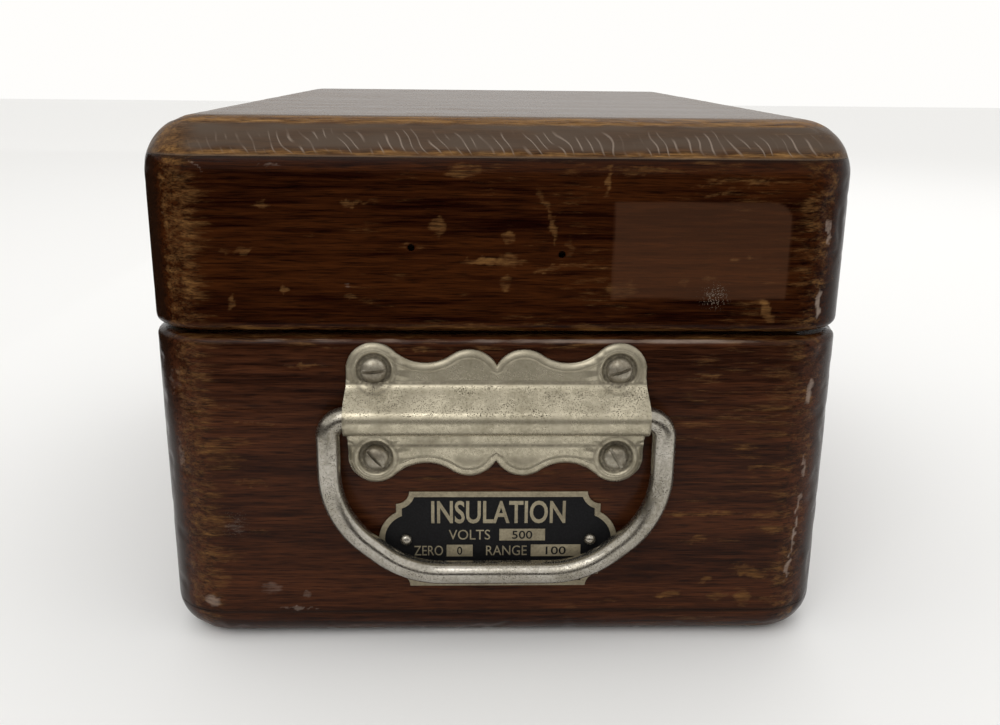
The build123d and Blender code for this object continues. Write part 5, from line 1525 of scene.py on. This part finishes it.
    rough = nodes.new("ShaderNodeMapRange")
    rough.label = "tarnish is rougher"
    rough.inputs["From Min"].default_value = 0.35
    rough.inputs["From Max"].default_value = 0.65
    rough.inputs["To Min"].default_value = shine + 0.16
    rough.inputs["To Max"].default_value = shine
    links.new(patina.outputs["Result"], rough.inputs["Value"])
    rougher = nodes.new("ShaderNodeMath")
    rougher.label = "dirt is roughest"
    rougher.operation = "MULTIPLY_ADD"
    rougher.inputs[1].default_value = 0.4
    links.new(pits_grime_and_shade.outputs["Value"], rougher.inputs[0])
    links.new(rough.outputs["Result"], rougher.inputs[2])
    links.new(rougher.outputs["Value"], surface.inputs["Roughness"])
    wavy = nodes.new("ShaderNodeBump")
    wavy.label = "worn a little wavy"
    wavy.inputs["Strength"].default_value = 0.25
    wavy.inputs["Distance"].default_value = 0.0004
    links.new(cloud.outputs["Fac"], wavy.inputs["Height"])
    sunk = nodes.new("ShaderNodeBump")
    sunk.label = "pits are sunk"
    sunk.invert = True
    sunk.inputs["Strength"].default_value = 0.7
    sunk.inputs["Distance"].default_value = 0.00008
    links.new(pit.outputs["Result"], sunk.inputs["Height"])
    links.new(wavy.outputs["Normal"], sunk.inputs["Normal"])
    links.new(sunk.outputs["Normal"], surface.inputs["Normal"])
    lay_out(
        nodes,
        (
            ("Tarnish", (place, cloud, mottle, patina, colour)),
            ("Pits", (pits, pit_patch, height, level, thick, denser, inside, pit)),
            ("Grime", (grime_and_shade, mottle_more, grime_and_shade_break, pits_grime_and_shade, dark_pits_grime_and_shade)),
            ("Shine and touch", (rough, rougher, wavy, sunk, surface, output)),
        ),
    )
    return material


def moulded(name, colour, fleck, shine, gloss, dust):
    """Dark moulded or enamelled stuff: faint flecks, a film of dust and fine rubbing."""
    material, nodes, links = empty_material(name)
    output = nodes.new("ShaderNodeOutputMaterial")
    output.label = "moulded surface"
    surface = nodes.new("ShaderNodeBsdfPrincipled")
    surface.label = "moulding"
    surface.inputs["Specular IOR Level"].default_value = gloss
    links.new(surface.outputs["BSDF"], output.inputs["Surface"])
    place = nodes.new("ShaderNodeTexCoord")
    place.label = "place on the piece"
    flecks = nodes.new("ShaderNodeTexNoise")
    flecks.label = "filler flecks"
    flecks.inputs["Scale"].default_value = 2000.0
    flecks.inputs["Detail"].default_value = 4.0
    links.new(place.outputs["Object"], flecks.inputs["Vector"])
    film = nodes.new("ShaderNodeTexNoise")
    film.label = "film of dust"
    film.inputs["Scale"].default_value = 60.0
    film.inputs["Detail"].default_value = 5.0
    links.new(place.outputs["Object"], film.inputs["Vector"])
    base = nodes.new("ShaderNodeValToRGB")
    base.label = "body and flecks"
    base.color_ramp.elements[0].position = 0.42
    base.color_ramp.elements[0].color = (*colour, 1)
    base.color_ramp.elements[1].position = 0.72
    base.color_ramp.elements[1].color = (*fleck, 1)
    links.new(flecks.outputs["Fac"], base.inputs["Fac"])
    filmed = nodes.new("ShaderNodeMapRange")
    filmed.label = "thin patches of dust"
    filmed.inputs["From Min"].default_value = 0.5
    filmed.inputs["From Max"].default_value = 0.8
    filmed.inputs["To Max"].default_value = dust
    links.new(film.outputs["Fac"], filmed.inputs["Value"])
    dusty = nodes.new("ShaderNodeMix")
    dusty.label = "dust over the body"
    dusty.data_type = "RGBA"
    dusty.inputs["B"].default_value = (0.18, 0.16, 0.13, 1)
    links.new(filmed.outputs["Result"], dusty.inputs["Factor"])
    links.new(base.outputs["Color"], dusty.inputs["A"])
    links.new(dusty.outputs["Result"], surface.inputs["Base Color"])
    rough = nodes.new("ShaderNodeMapRange")
    rough.label = "shine broken by handling"
    rough.inputs["From Min"].default_value = 0.3
    rough.inputs["From Max"].default_value = 0.7
    rough.inputs["To Min"].default_value = shine
    rough.inputs["To Max"].default_value = shine + 0.22
    links.new(film.outputs["Fac"], rough.inputs["Value"])
    links.new(rough.outputs["Result"], surface.inputs["Roughness"])
    touch = nodes.new("ShaderNodeBump")
    touch.label = "slight orange peel"
    touch.inputs["Strength"].default_value = 0.15
    touch.inputs["Distance"].default_value = 0.0001
    links.new(flecks.outputs["Fac"], touch.inputs["Height"])
    links.new(touch.outputs["Normal"], surface.inputs["Normal"])
    lay_out(
        nodes,
        (
            ("Body", (place, flecks, base)),
            ("Dust", (film, filmed, dusty)),
            ("Shine and touch", (rough, touch, surface, output)),
        ),
    )
    return material


def window_glass(name):
    """Thin clear glass with a faint greasy film."""
    material, nodes, links = empty_material(name)
    output = nodes.new("ShaderNodeOutputMaterial")
    output.label = "glass surface"
    surface = nodes.new("ShaderNodeBsdfPrincipled")
    surface.label = "clear glass"
    surface.inputs["Base Color"].default_value = (0.97, 0.98, 0.97, 1)
    surface.inputs["Transmission Weight"].default_value = 1.0
    surface.inputs["IOR"].default_value = 1.45
    links.new(surface.outputs["BSDF"], output.inputs["Surface"])
    place = nodes.new("ShaderNodeTexCoord")
    place.label = "place on the glass"
    film = nodes.new("ShaderNodeTexNoise")
    film.label = "wiped film"
    film.inputs["Scale"].default_value = 45.0
    film.inputs["Detail"].default_value = 4.0
    links.new(place.outputs["Object"], film.inputs["Vector"])
    rough = nodes.new("ShaderNodeMapRange")
    rough.label = "film blurs a little"
    rough.inputs["To Min"].default_value = 0.0
    rough.inputs["To Max"].default_value = 0.05
    links.new(film.outputs["Fac"], rough.inputs["Value"])
    links.new(rough.outputs["Result"], surface.inputs["Roughness"])
    lay_out(nodes, (("Film", (place, film, rough)), ("Glass", (surface, output))))
    return material


def dry_stuff(name, colour, shade, fibre, rough_low, banded=0.0):
    """Paper, card, cloth braid or wound wire: fibres, blotches and, when banded, even windings."""
    material, nodes, links = empty_material(name)
    output = nodes.new("ShaderNodeOutputMaterial")
    output.label = "dry surface"
    surface = nodes.new("ShaderNodeBsdfPrincipled")
    surface.label = "dry stuff"
    surface.inputs["Specular IOR Level"].default_value = 0.25
    links.new(surface.outputs["BSDF"], output.inputs["Surface"])
    place = nodes.new("ShaderNodeTexCoord")
    place.label = "place on the piece"
    fibres = nodes.new("ShaderNodeTexNoise")
    fibres.label = "fibres"
    fibres.inputs["Scale"].default_value = 1.0 / (fibre * MM)
    fibres.inputs["Detail"].default_value = 5.0
    links.new(place.outputs["Object"], fibres.inputs["Vector"])
    age = nodes.new("ShaderNodeTexNoise")
    age.label = "foxing and stains"
    age.inputs["Scale"].default_value = 32.0
    age.inputs["Detail"].default_value = 6.0
    links.new(place.outputs["Object"], age.inputs["Vector"])
    windings = nodes.new("ShaderNodeTexWave")
    windings.label = "even windings"
    windings.bands_direction = "Z"
    windings.inputs["Scale"].default_value = 260.0
    links.new(place.outputs["Object"], windings.inputs["Vector"])
    body = nodes.new("ShaderNodeMix")
    body.label = "fibres or windings"
    body.data_type = "FLOAT"
    body.inputs["Factor"].default_value = banded
    links.new(fibres.outputs["Fac"], body.inputs["A"])
    links.new(windings.outputs["Fac"], body.inputs["B"])
    stained = nodes.new("ShaderNodeMix")
    stained.label = "with stains"
    stained.data_type = "FLOAT"
    stained.inputs["Factor"].default_value = 0.5
    links.new(body.outputs["Result"], stained.inputs["A"])
    links.new(age.outputs["Fac"], stained.inputs["B"])
    tint = nodes.new("ShaderNodeValToRGB")
    tint.label = "stained to clean"
    tint.color_ramp.elements[0].position = 0.34
    tint.color_ramp.elements[0].color = (*shade, 1)
    tint.color_ramp.elements[1].position = 0.60
    tint.color_ramp.elements[1].color = (*colour, 1)
    links.new(stained.outputs["Result"], tint.inputs["Fac"])
    links.new(tint.outputs["Color"], surface.inputs["Base Color"])
    rough = nodes.new("ShaderNodeMapRange")
    rough.label = "dull, a little uneven"
    rough.inputs["To Min"].default_value = rough_low
    rough.inputs["To Max"].default_value = rough_low + 0.2
    links.new(fibres.outputs["Fac"], rough.inputs["Value"])
    links.new(rough.outputs["Result"], surface.inputs["Roughness"])
    touch = nodes.new("ShaderNodeBump")
    touch.label = "felt fibres"
    touch.inputs["Strength"].default_value = 0.4
    touch.inputs["Distance"].default_value = 0.0001
    links.new(body.outputs["Result"], touch.inputs["Height"])
    links.new(touch.outputs["Normal"], surface.inputs["Normal"])
    lay_out(
        nodes,
        (
            ("Body", (place, fibres, windings, body)),
            ("Age", (age, stained, tint)),
            ("Touch", (rough, touch, surface, output)),
        ),
    )
    return material


# ---------------------------------------------------------------- markings inside
DIAL_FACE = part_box("meter_dial")[1].z
PIVOT_X = 4.0
ZERO_BEARING, SWEEP = 225.0, 88.0
ARC_RADIUS, MINOR_TICK, MAJOR_TICK, NUMBER_RADIUS = 55.0, 58.0, 60.5, 63.6
HALF_SCALE, ARC_PIECES = 10.0, 44


def level_slab(bm, outline, low, thickness):
    """A thin closed slab over a level outline in millimetres, standing on the height low."""
    under = [bm.verts.new((x * MM, y * MM, low)) for x, y in outline]
    over = [bm.verts.new((x * MM, y * MM, low + thickness * MM)) for x, y in outline]
    bm.faces.new(under)
    bm.faces.new(over)
    count = len(outline)
    for index in range(count):
        after = (index + 1) % count
        bm.faces.new((under[index], under[after], over[after], over[index]))


def stripe(bm, start, end, width, low, thickness):
    """A straight painted line between two spots, as a slab."""
    start, end = Vector(start), Vector(end)
    along = (end - start).normalized()
    across = Vector((-along.y, along.x)) * width / 2
    corners = (start - across, end - across, end + across, start + across)
    level_slab(bm, [tuple(corner) for corner in corners], low, thickness)


def scale_place(radius, bearing):
    """A spot of the dial, from its distance to the pointer's pivot and its bearing in degrees."""
    turn = math.radians(bearing)
    return PIVOT_X + radius * math.cos(turn), radius * math.sin(turn)


def scale_bearing(value):
    """Where a reading lies on the scale, which crowds towards its far end."""
    return ZERO_BEARING - SWEEP * value / (value + HALF_SCALE)


def level_word(word, height, x, y, low, bearing=180.0, pitch=0.74):
    """A thin word lying on a level face; bearing is the way the tops of its letters point."""
    mesh = word_mesh(word, pitch * len(word) * height * MM, height * MM, 0.08 * MM)
    turn = Matrix.Rotation(math.radians(bearing - 90), 4, "Z")
    mesh.transform(Matrix.Translation((x * MM, y * MM, low + 0.04 * MM)) @ turn)
    return mesh


def build_dial_marks(ink):
    """The scale arc with its ticks, the numbers and the unit."""
    bm = bmesh.new()
    for index in range(ARC_PIECES):
        bearings = [ZERO_BEARING - SWEEP * (index + step) / ARC_PIECES for step in (0, 1)]
        outline = [scale_place(ARC_RADIUS, bearing) for bearing in bearings]
        outline += [scale_place(ARC_RADIUS + 0.5, bearing) for bearing in reversed(bearings)]
        level_slab(bm, outline, DIAL_FACE, 0.04)
    numbered = (0, 1, 2, 5, 10, 20, 50, 100)
    plain = (0.5, 1.5, 3, 4, 6, 7, 8, 9, 12, 14, 16, 18, 25, 30, 40, 70)
    for value in numbered + plain:
        bearing = scale_bearing(value)
        reach = MAJOR_TICK if value in numbered else MINOR_TICK
        ends = (scale_place(ARC_RADIUS, bearing), scale_place(reach, bearing))
        stripe(bm, *ends, 0.45, DIAL_FACE, 0.05)
    last = ZERO_BEARING - SWEEP
    stripe(bm, scale_place(ARC_RADIUS, last), scale_place(MAJOR_TICK, last), 0.45, DIAL_FACE, 0.05)
    bmesh.ops.recalc_face_normals(bm, faces=bm.faces[:])
    meshes = [mesh_from(bm, "dial_lines", False)]
    for value in numbered:
        bearing = scale_bearing(value)
        x, y = scale_place(NUMBER_RADIUS, bearing)
        meshes.append(level_word(str(value), 3.0, x, y, DIAL_FACE, bearing, 0.62))
    meshes.append(level_word("MEGOHMS", 4.2, -34.0, 0.0, DIAL_FACE))
    marks = join_meshes("dial_marks", meshes)
    new_piece(marks.name, marks, "case", [ink])


def build_panel_marks(paint):
    """The white words beside the controls and the posts, and the knob pointers."""
    words = (
        ("LINE", 4.0, -50, -79),
        ("GUARD", 4.0, -15, -79),
        ("EARTH", 4.0, 20, -79),
        ("RANGE", 4.0, -76, 95),
        ("1", 3.6, -66, 95),
        ("10", 3.6, -53, 118),
        ("100", 3.6, -27, 119),
        ("ZERO", 4.0, 5, 95),
        ("TEST", 4.0, 43, 0),
        ("500 VOLTS", 4.6, 60, -70),
        ("MEGOHMS", 4.6, 60, 80),
    )
    meshes = [level_word(word, height, x, y, PANEL_TOP) for word, height, x, y in words]
    labels = join_meshes("panel_labels", meshes)
    new_piece(labels.name, labels, "case", [paint])
    for node, near, reach in (("range_knob", 3, 16.5), ("zero_knob", 4, 10)):
        low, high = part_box(node)
        middle = (low + high) / 2 / MM
        bm = bmesh.new()
        start, end = (middle.x - near, middle.y), (middle.x - reach, middle.y)
        stripe(bm, start, end, 1.2, high.z, 0.05)
        bmesh.ops.recalc_face_normals(bm, faces=bm.faces[:])
        new_piece(node + "_line", mesh_from(bm, node + "_line", False), node, [paint])


def build_card_lines(ink):
    """Ruled lines on the underside of the card in the lid."""
    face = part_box("instruction_card")[0].z - 0.06 * MM
    bm = bmesh.new()
    for row in range(11):
        x = 38 - 8.0 * row
        reach = 78 if row % 4 < 3 else 46
        stripe(bm, (x, -78), (x, -78 + 2 * reach), 0.5, face, 0.06)
    bmesh.ops.recalc_face_normals(bm, faces=bm.faces[:])
    new_piece("card_lines", mesh_from(bm, "card_lines", False), "lid", [ink])


def build_spring(wire_metal):
    """The test button's coil spring."""
    low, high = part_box("button_spring")
    wire, turns, steps = 0.45 * MM, 4, 20
    radius = (high.x - low.x) / 2 - wire
    middle = (low + high) / 2
    curve = bpy.data.curves.new("coil_spring", "CURVE")
    curve.dimensions = "3D"
    curve.bevel_depth = wire
    curve.bevel_resolution = 3
    curve.use_fill_caps = True
    spline = curve.splines.new("POLY")
    spline.points.add(turns * steps)
    for index, point in enumerate(spline.points):
        angle = math.tau * index / steps
        rise = low.z + wire + (high.z - low.z - 2 * wire) * index / (turns * steps)
        x, y = middle.x + radius * math.cos(angle), middle.y + radius * math.sin(angle)
        point.co = (x, y, rise, 1.0)
    holder = bpy.data.objects.new("coil_spring_route", curve)
    bpy.context.scene.collection.objects.link(holder)
    mesh = finished_mesh(holder)
    for face in mesh.polygons:
        face.use_smooth = True
    piece = new_piece("coil_spring", mesh, "case", [wire_metal], ("button_spring",))
    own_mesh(piece)


# ---------------------------------------------------------------- room, light and camera
def build_room():
    """A plain pale floor, a pale room, soft lamps overhead and a dark far end for the reflections."""
    material, nodes, links = empty_material("pale_floor")
    output = nodes.new("ShaderNodeOutputMaterial")
    output.label = "floor surface"
    surface = nodes.new("ShaderNodeBsdfPrincipled")
    surface.label = "matt floor"
    surface.inputs["Base Color"].default_value = (0.86, 0.86, 0.855, 1)
    surface.inputs["Roughness"].default_value = 0.9
    surface.inputs["Specular IOR Level"].default_value = 0.1
    links.new(surface.outputs["BSDF"], output.inputs["Surface"])
    lay_out(nodes, (("Floor", (surface, output)),))
    bm = bmesh.new()
    reach = 4.0
    corners = ((-reach, -reach), (reach, -reach), (reach, reach), (-reach, reach))
    bm.faces.new([bm.verts.new((x, y, 0.0)) for x, y in corners])
    floor = bpy.data.objects.new("floor", mesh_from(bm, "floor", False))
    floor.data.materials.append(material)
    bpy.context.scene.collection.objects.link(floor)

    # Seen only by reflections: past the near edge of the work table the room is dim.
    material, nodes, links = empty_material("dim_room")
    output = nodes.new("ShaderNodeOutputMaterial")
    output.label = "dim surface"
    glow = nodes.new("ShaderNodeEmission")
    glow.label = "dim brown room"
    glow.inputs["Color"].default_value = (0.022, 0.013, 0.008, 1)
    links.new(glow.outputs["Emission"], output.inputs["Surface"])
    lay_out(nodes, (("Dim room", (glow, output)),))
    bm = bmesh.new()
    near, far, side, height = -0.37, -1.3, 0.30, 0.002
    for corners in (
        ((-1.6, far, height), (1.6, far, height), (1.6, near, height), (-1.6, near, height)),
        ((-1.6, far, height), (-1.6, far, 0.33), (1.6, far, 0.33), (1.6, far, height)),
        ((-1.6, near, height), (-side, near, height), (-side, 1.6, height), (-1.6, 1.6, height)),
        ((-1.6, far, height), (-1.6, 1.6, height), (-1.6, 1.6, 0.5), (-1.6, far, 0.5)),
    ):
        bm.faces.new([bm.verts.new(corner) for corner in corners])
    dim = bpy.data.objects.new("dim_room_end", mesh_from(bm, "dim_room_end", False))
    dim.data.materials.append(material)
    dim.visible_camera = False
    dim.visible_diffuse = False
    dim.visible_shadow = False
    dim.visible_transmission = False
    bpy.context.scene.collection.objects.link(dim)

    world = bpy.data.worlds.new("pale_room")
    bpy.context.scene.world = world
    world.use_nodes = True
    world.node_tree.nodes["Background"].inputs["Color"].default_value = (1.0, 0.99, 0.97, 1)
    world.node_tree.nodes["Background"].inputs["Strength"].default_value = 1.0

    for name, place, aim, size, power in (
        ("front_lamp", (-0.45, -1.25, 1.25), (0.0, -0.1, 0.08), 0.9, 6.0),
        ("rear_lamp", (0.5, 0.9, 1.0), (0.0, 0.0, 0.1), 0.8, 2.0),
    ):
        data = bpy.data.lights.new(name, "AREA")
        data.shape = "SQUARE"
        data.size = size
        data.energy = power
        lamp = bpy.data.objects.new(name, data)
        lamp.location = place
        lamp.rotation_euler = (Vector(aim) - Vector(place)).to_track_quat("-Z", "Y").to_euler()
        bpy.context.scene.collection.objects.link(lamp)


def build_camera():
    """A short view from the handle end, a little above the lid."""
    data = bpy.data.cameras.new("camera")
    data.sensor_width = 36.0
    data.lens = 37.17
    data.clip_start = 0.01
    camera = bpy.data.objects.new("camera", data)
    place = Vector((-8.708, -434.076, 176.734)) * MM
    yaw, pitch, roll = math.radians(1.727), math.radians(16.37), math.radians(0.606)
    forward = Vector((math.sin(yaw) * math.cos(pitch), math.cos(yaw) * math.cos(pitch), -math.sin(pitch)))
    level = Vector((math.cos(yaw), -math.sin(yaw), 0.0))
    upward = level.cross(forward)
    right = level * math.cos(roll) + upward * math.sin(roll)
    up = upward * math.cos(roll) - level * math.sin(roll)
    turn = Matrix((right, up, -forward)).transposed().to_4x4()
    camera.matrix_world = Matrix.Translation(place) @ turn
    bpy.context.scene.collection.objects.link(camera)
    bpy.context.scene.camera = camera
    bpy.context.scene.view_settings.view_transform = "Standard"


# ---------------------------------------------------------------- the whole thing
build_camera()
build_room()

LID_STAIN = ((0.0070, 0.0009, 0.0001), (0.0400, 0.0100, 0.0014))
CASE_STAIN = ((0.0160, 0.0042, 0.0014), (0.0600, 0.0180, 0.0060))
# Painted sheen: the top board takes lighter copies of the stain and bare wood colours, for the light falling on
# the top.
TOP_STAIN_WITH_SHEEN = ((0.0380, 0.0150, 0.0060), (0.1000, 0.0480, 0.0200))
BARE = ((0.0420, 0.0130, 0.0028), (0.1650, 0.0780, 0.0220))
TOP_BARE_WITH_SHEEN = ((0.1150, 0.0500, 0.0130), (0.3000, 0.1650, 0.0600))
# These colours darken the joints with soiling and paint shade where the corners turn to the sides; the top
# board's copy is lighter, with painted sheen.
DARK_GRIME_AND_SHADE, TOP_GRIME_AND_SHADE_WITH_SHEEN = (0.0090, 0.0040, 0.0022), (0.0800, 0.0580, 0.0430)
ALONG_X, ALONG_Y = 0.0, math.radians(90)
inner = raw_wood("inner_wood_planed", (0.36, 0.19, 0.09), (0.20, 0.09, 0.04))
lid_end = aged_wood("lid_end_wood", ALONG_X, LID_STAIN, BARE, DARK_GRIME_AND_SHADE, 0.06, 0.0)
lid_side = aged_wood("lid_side_wood", ALONG_Y, CASE_STAIN, BARE, DARK_GRIME_AND_SHADE, 0.30, 0.0)
lid_top = aged_wood("lid_top_wood", ALONG_X, TOP_STAIN_WITH_SHEEN, TOP_BARE_WITH_SHEEN, TOP_GRIME_AND_SHADE_WITH_SHEEN, 0.02, 0.6)
case_end = aged_wood("case_end_wood", ALONG_X, CASE_STAIN, BARE, DARK_GRIME_AND_SHADE, 0.09, 0.0)
case_side = aged_wood("case_side_wood", ALONG_Y, CASE_STAIN, BARE, DARK_GRIME_AND_SHADE, 0.30, 0.0)
build_boards(
    {
        "lid_end_front": (lid_end, inner),
        "lid_end_rear": (lid_end, inner),
        "lid_side_left": (lid_side, inner),
        "lid_side_right": (lid_side, inner),
        "lid_top": (lid_top, inner),
        "case_end_front": (case_end, inner),
        "case_end_rear": (case_end, inner),
        "case_side_left": (case_side, inner),
        "case_side_right": (case_side, inner),
        "case_bottom": (case_end, inner),
    }
)

plate_film = ((0.56, 0.505, 0.38), (0.31, 0.275, 0.195))
pitted_slope = (HANDLE_Z + 2 * MM, HANDLE_Z + 9 * MM)
plate_nickel = old_metal("plate_nickel", *plate_film, 0.20, 0.74, 1.0, pitted_slope)
rod_nickel = old_metal("rod_nickel", (0.47, 0.44, 0.385), (0.27, 0.245, 0.195), 0.15, 0.97, 0.9)
screw_nickel = old_metal("screw_nickel", (0.42, 0.385, 0.31), (0.20, 0.17, 0.125), 0.30, 0.8, 0.6)
brass = old_metal("old_brass", (0.62, 0.49, 0.27), (0.33, 0.24, 0.12), 0.32, 0.9, 0.5)
label_metal = old_metal("label_metal", (0.34, 0.295, 0.20), (0.19, 0.16, 0.105), 0.42, 0.5, 0.5)
steel = old_metal("steel", (0.45, 0.44, 0.42), (0.22, 0.20, 0.18), 0.30, 1.0, 0.4)
field_paint = moulded("black_field", (0.003, 0.003, 0.0035), (0.007, 0.007, 0.008), 0.45, 0.15, 0.02)
build_handle_plate(plate_nickel)
build_bail(rod_nickel)
build_front_screws(screw_nickel)
build_nameplate(field_paint, label_metal)
ink = moulded("pointer_paint", (0.006, 0.006, 0.006), (0.012, 0.012, 0.012), 0.4, 0.4, 0.02)
white_paint = moulded("white_paint", (0.55, 0.53, 0.47), (0.40, 0.38, 0.32), 0.5, 0.2, 0.05)
build_dial_marks(ink)
build_panel_marks(white_paint)
build_card_lines(ink)
build_spring(steel)

finishes = {
    "inner_wood": inner,
    "nickel": screw_nickel,
    "brass": brass,
    "panel_black": moulded("panel_ebonite", (0.010, 0.010, 0.010), (0.02, 0.02, 0.02), 0.35, 0.45, 0.08),
    "bakelite": moulded("black_moulding", (0.007, 0.006, 0.006), (0.02, 0.014, 0.01), 0.20, 0.5, 0.08),
    "meter_glass": window_glass("meter_window"),
    "paper_card": dry_stuff("old_paper", (0.72, 0.66, 0.50), (0.50, 0.41, 0.26), 0.3, 0.6),
    "steel": steel,
    "pointer_black": ink,
    "copper_coil": dry_stuff("wound_copper", (0.35, 0.12, 0.04), (0.14, 0.04, 0.015), 0.3, 0.3, 1.0),
    "battery_card": dry_stuff("battery_card", (0.10, 0.13, 0.20), (0.04, 0.05, 0.09), 0.5, 0.55),
    "resistor_wood": dry_stuff("resistor_silk", (0.10, 0.22, 0.10), (0.05, 0.10, 0.05), 0.3, 0.5, 0.8),
    "wire_cloth": dry_stuff("wire_braid", (0.45, 0.10, 0.05), (0.20, 0.04, 0.02), 0.4, 0.6, 0.3),
    "case_wood": case_end,
    "nameplate_black": field_paint,
}
for name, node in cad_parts.items():
    if not node.hide_render:
        for slot in node.material_slots:
            base = slot.material.name.split(".")[0]
            slot.material = rod_nickel if name == "nameplate_pins" else finishes[base]
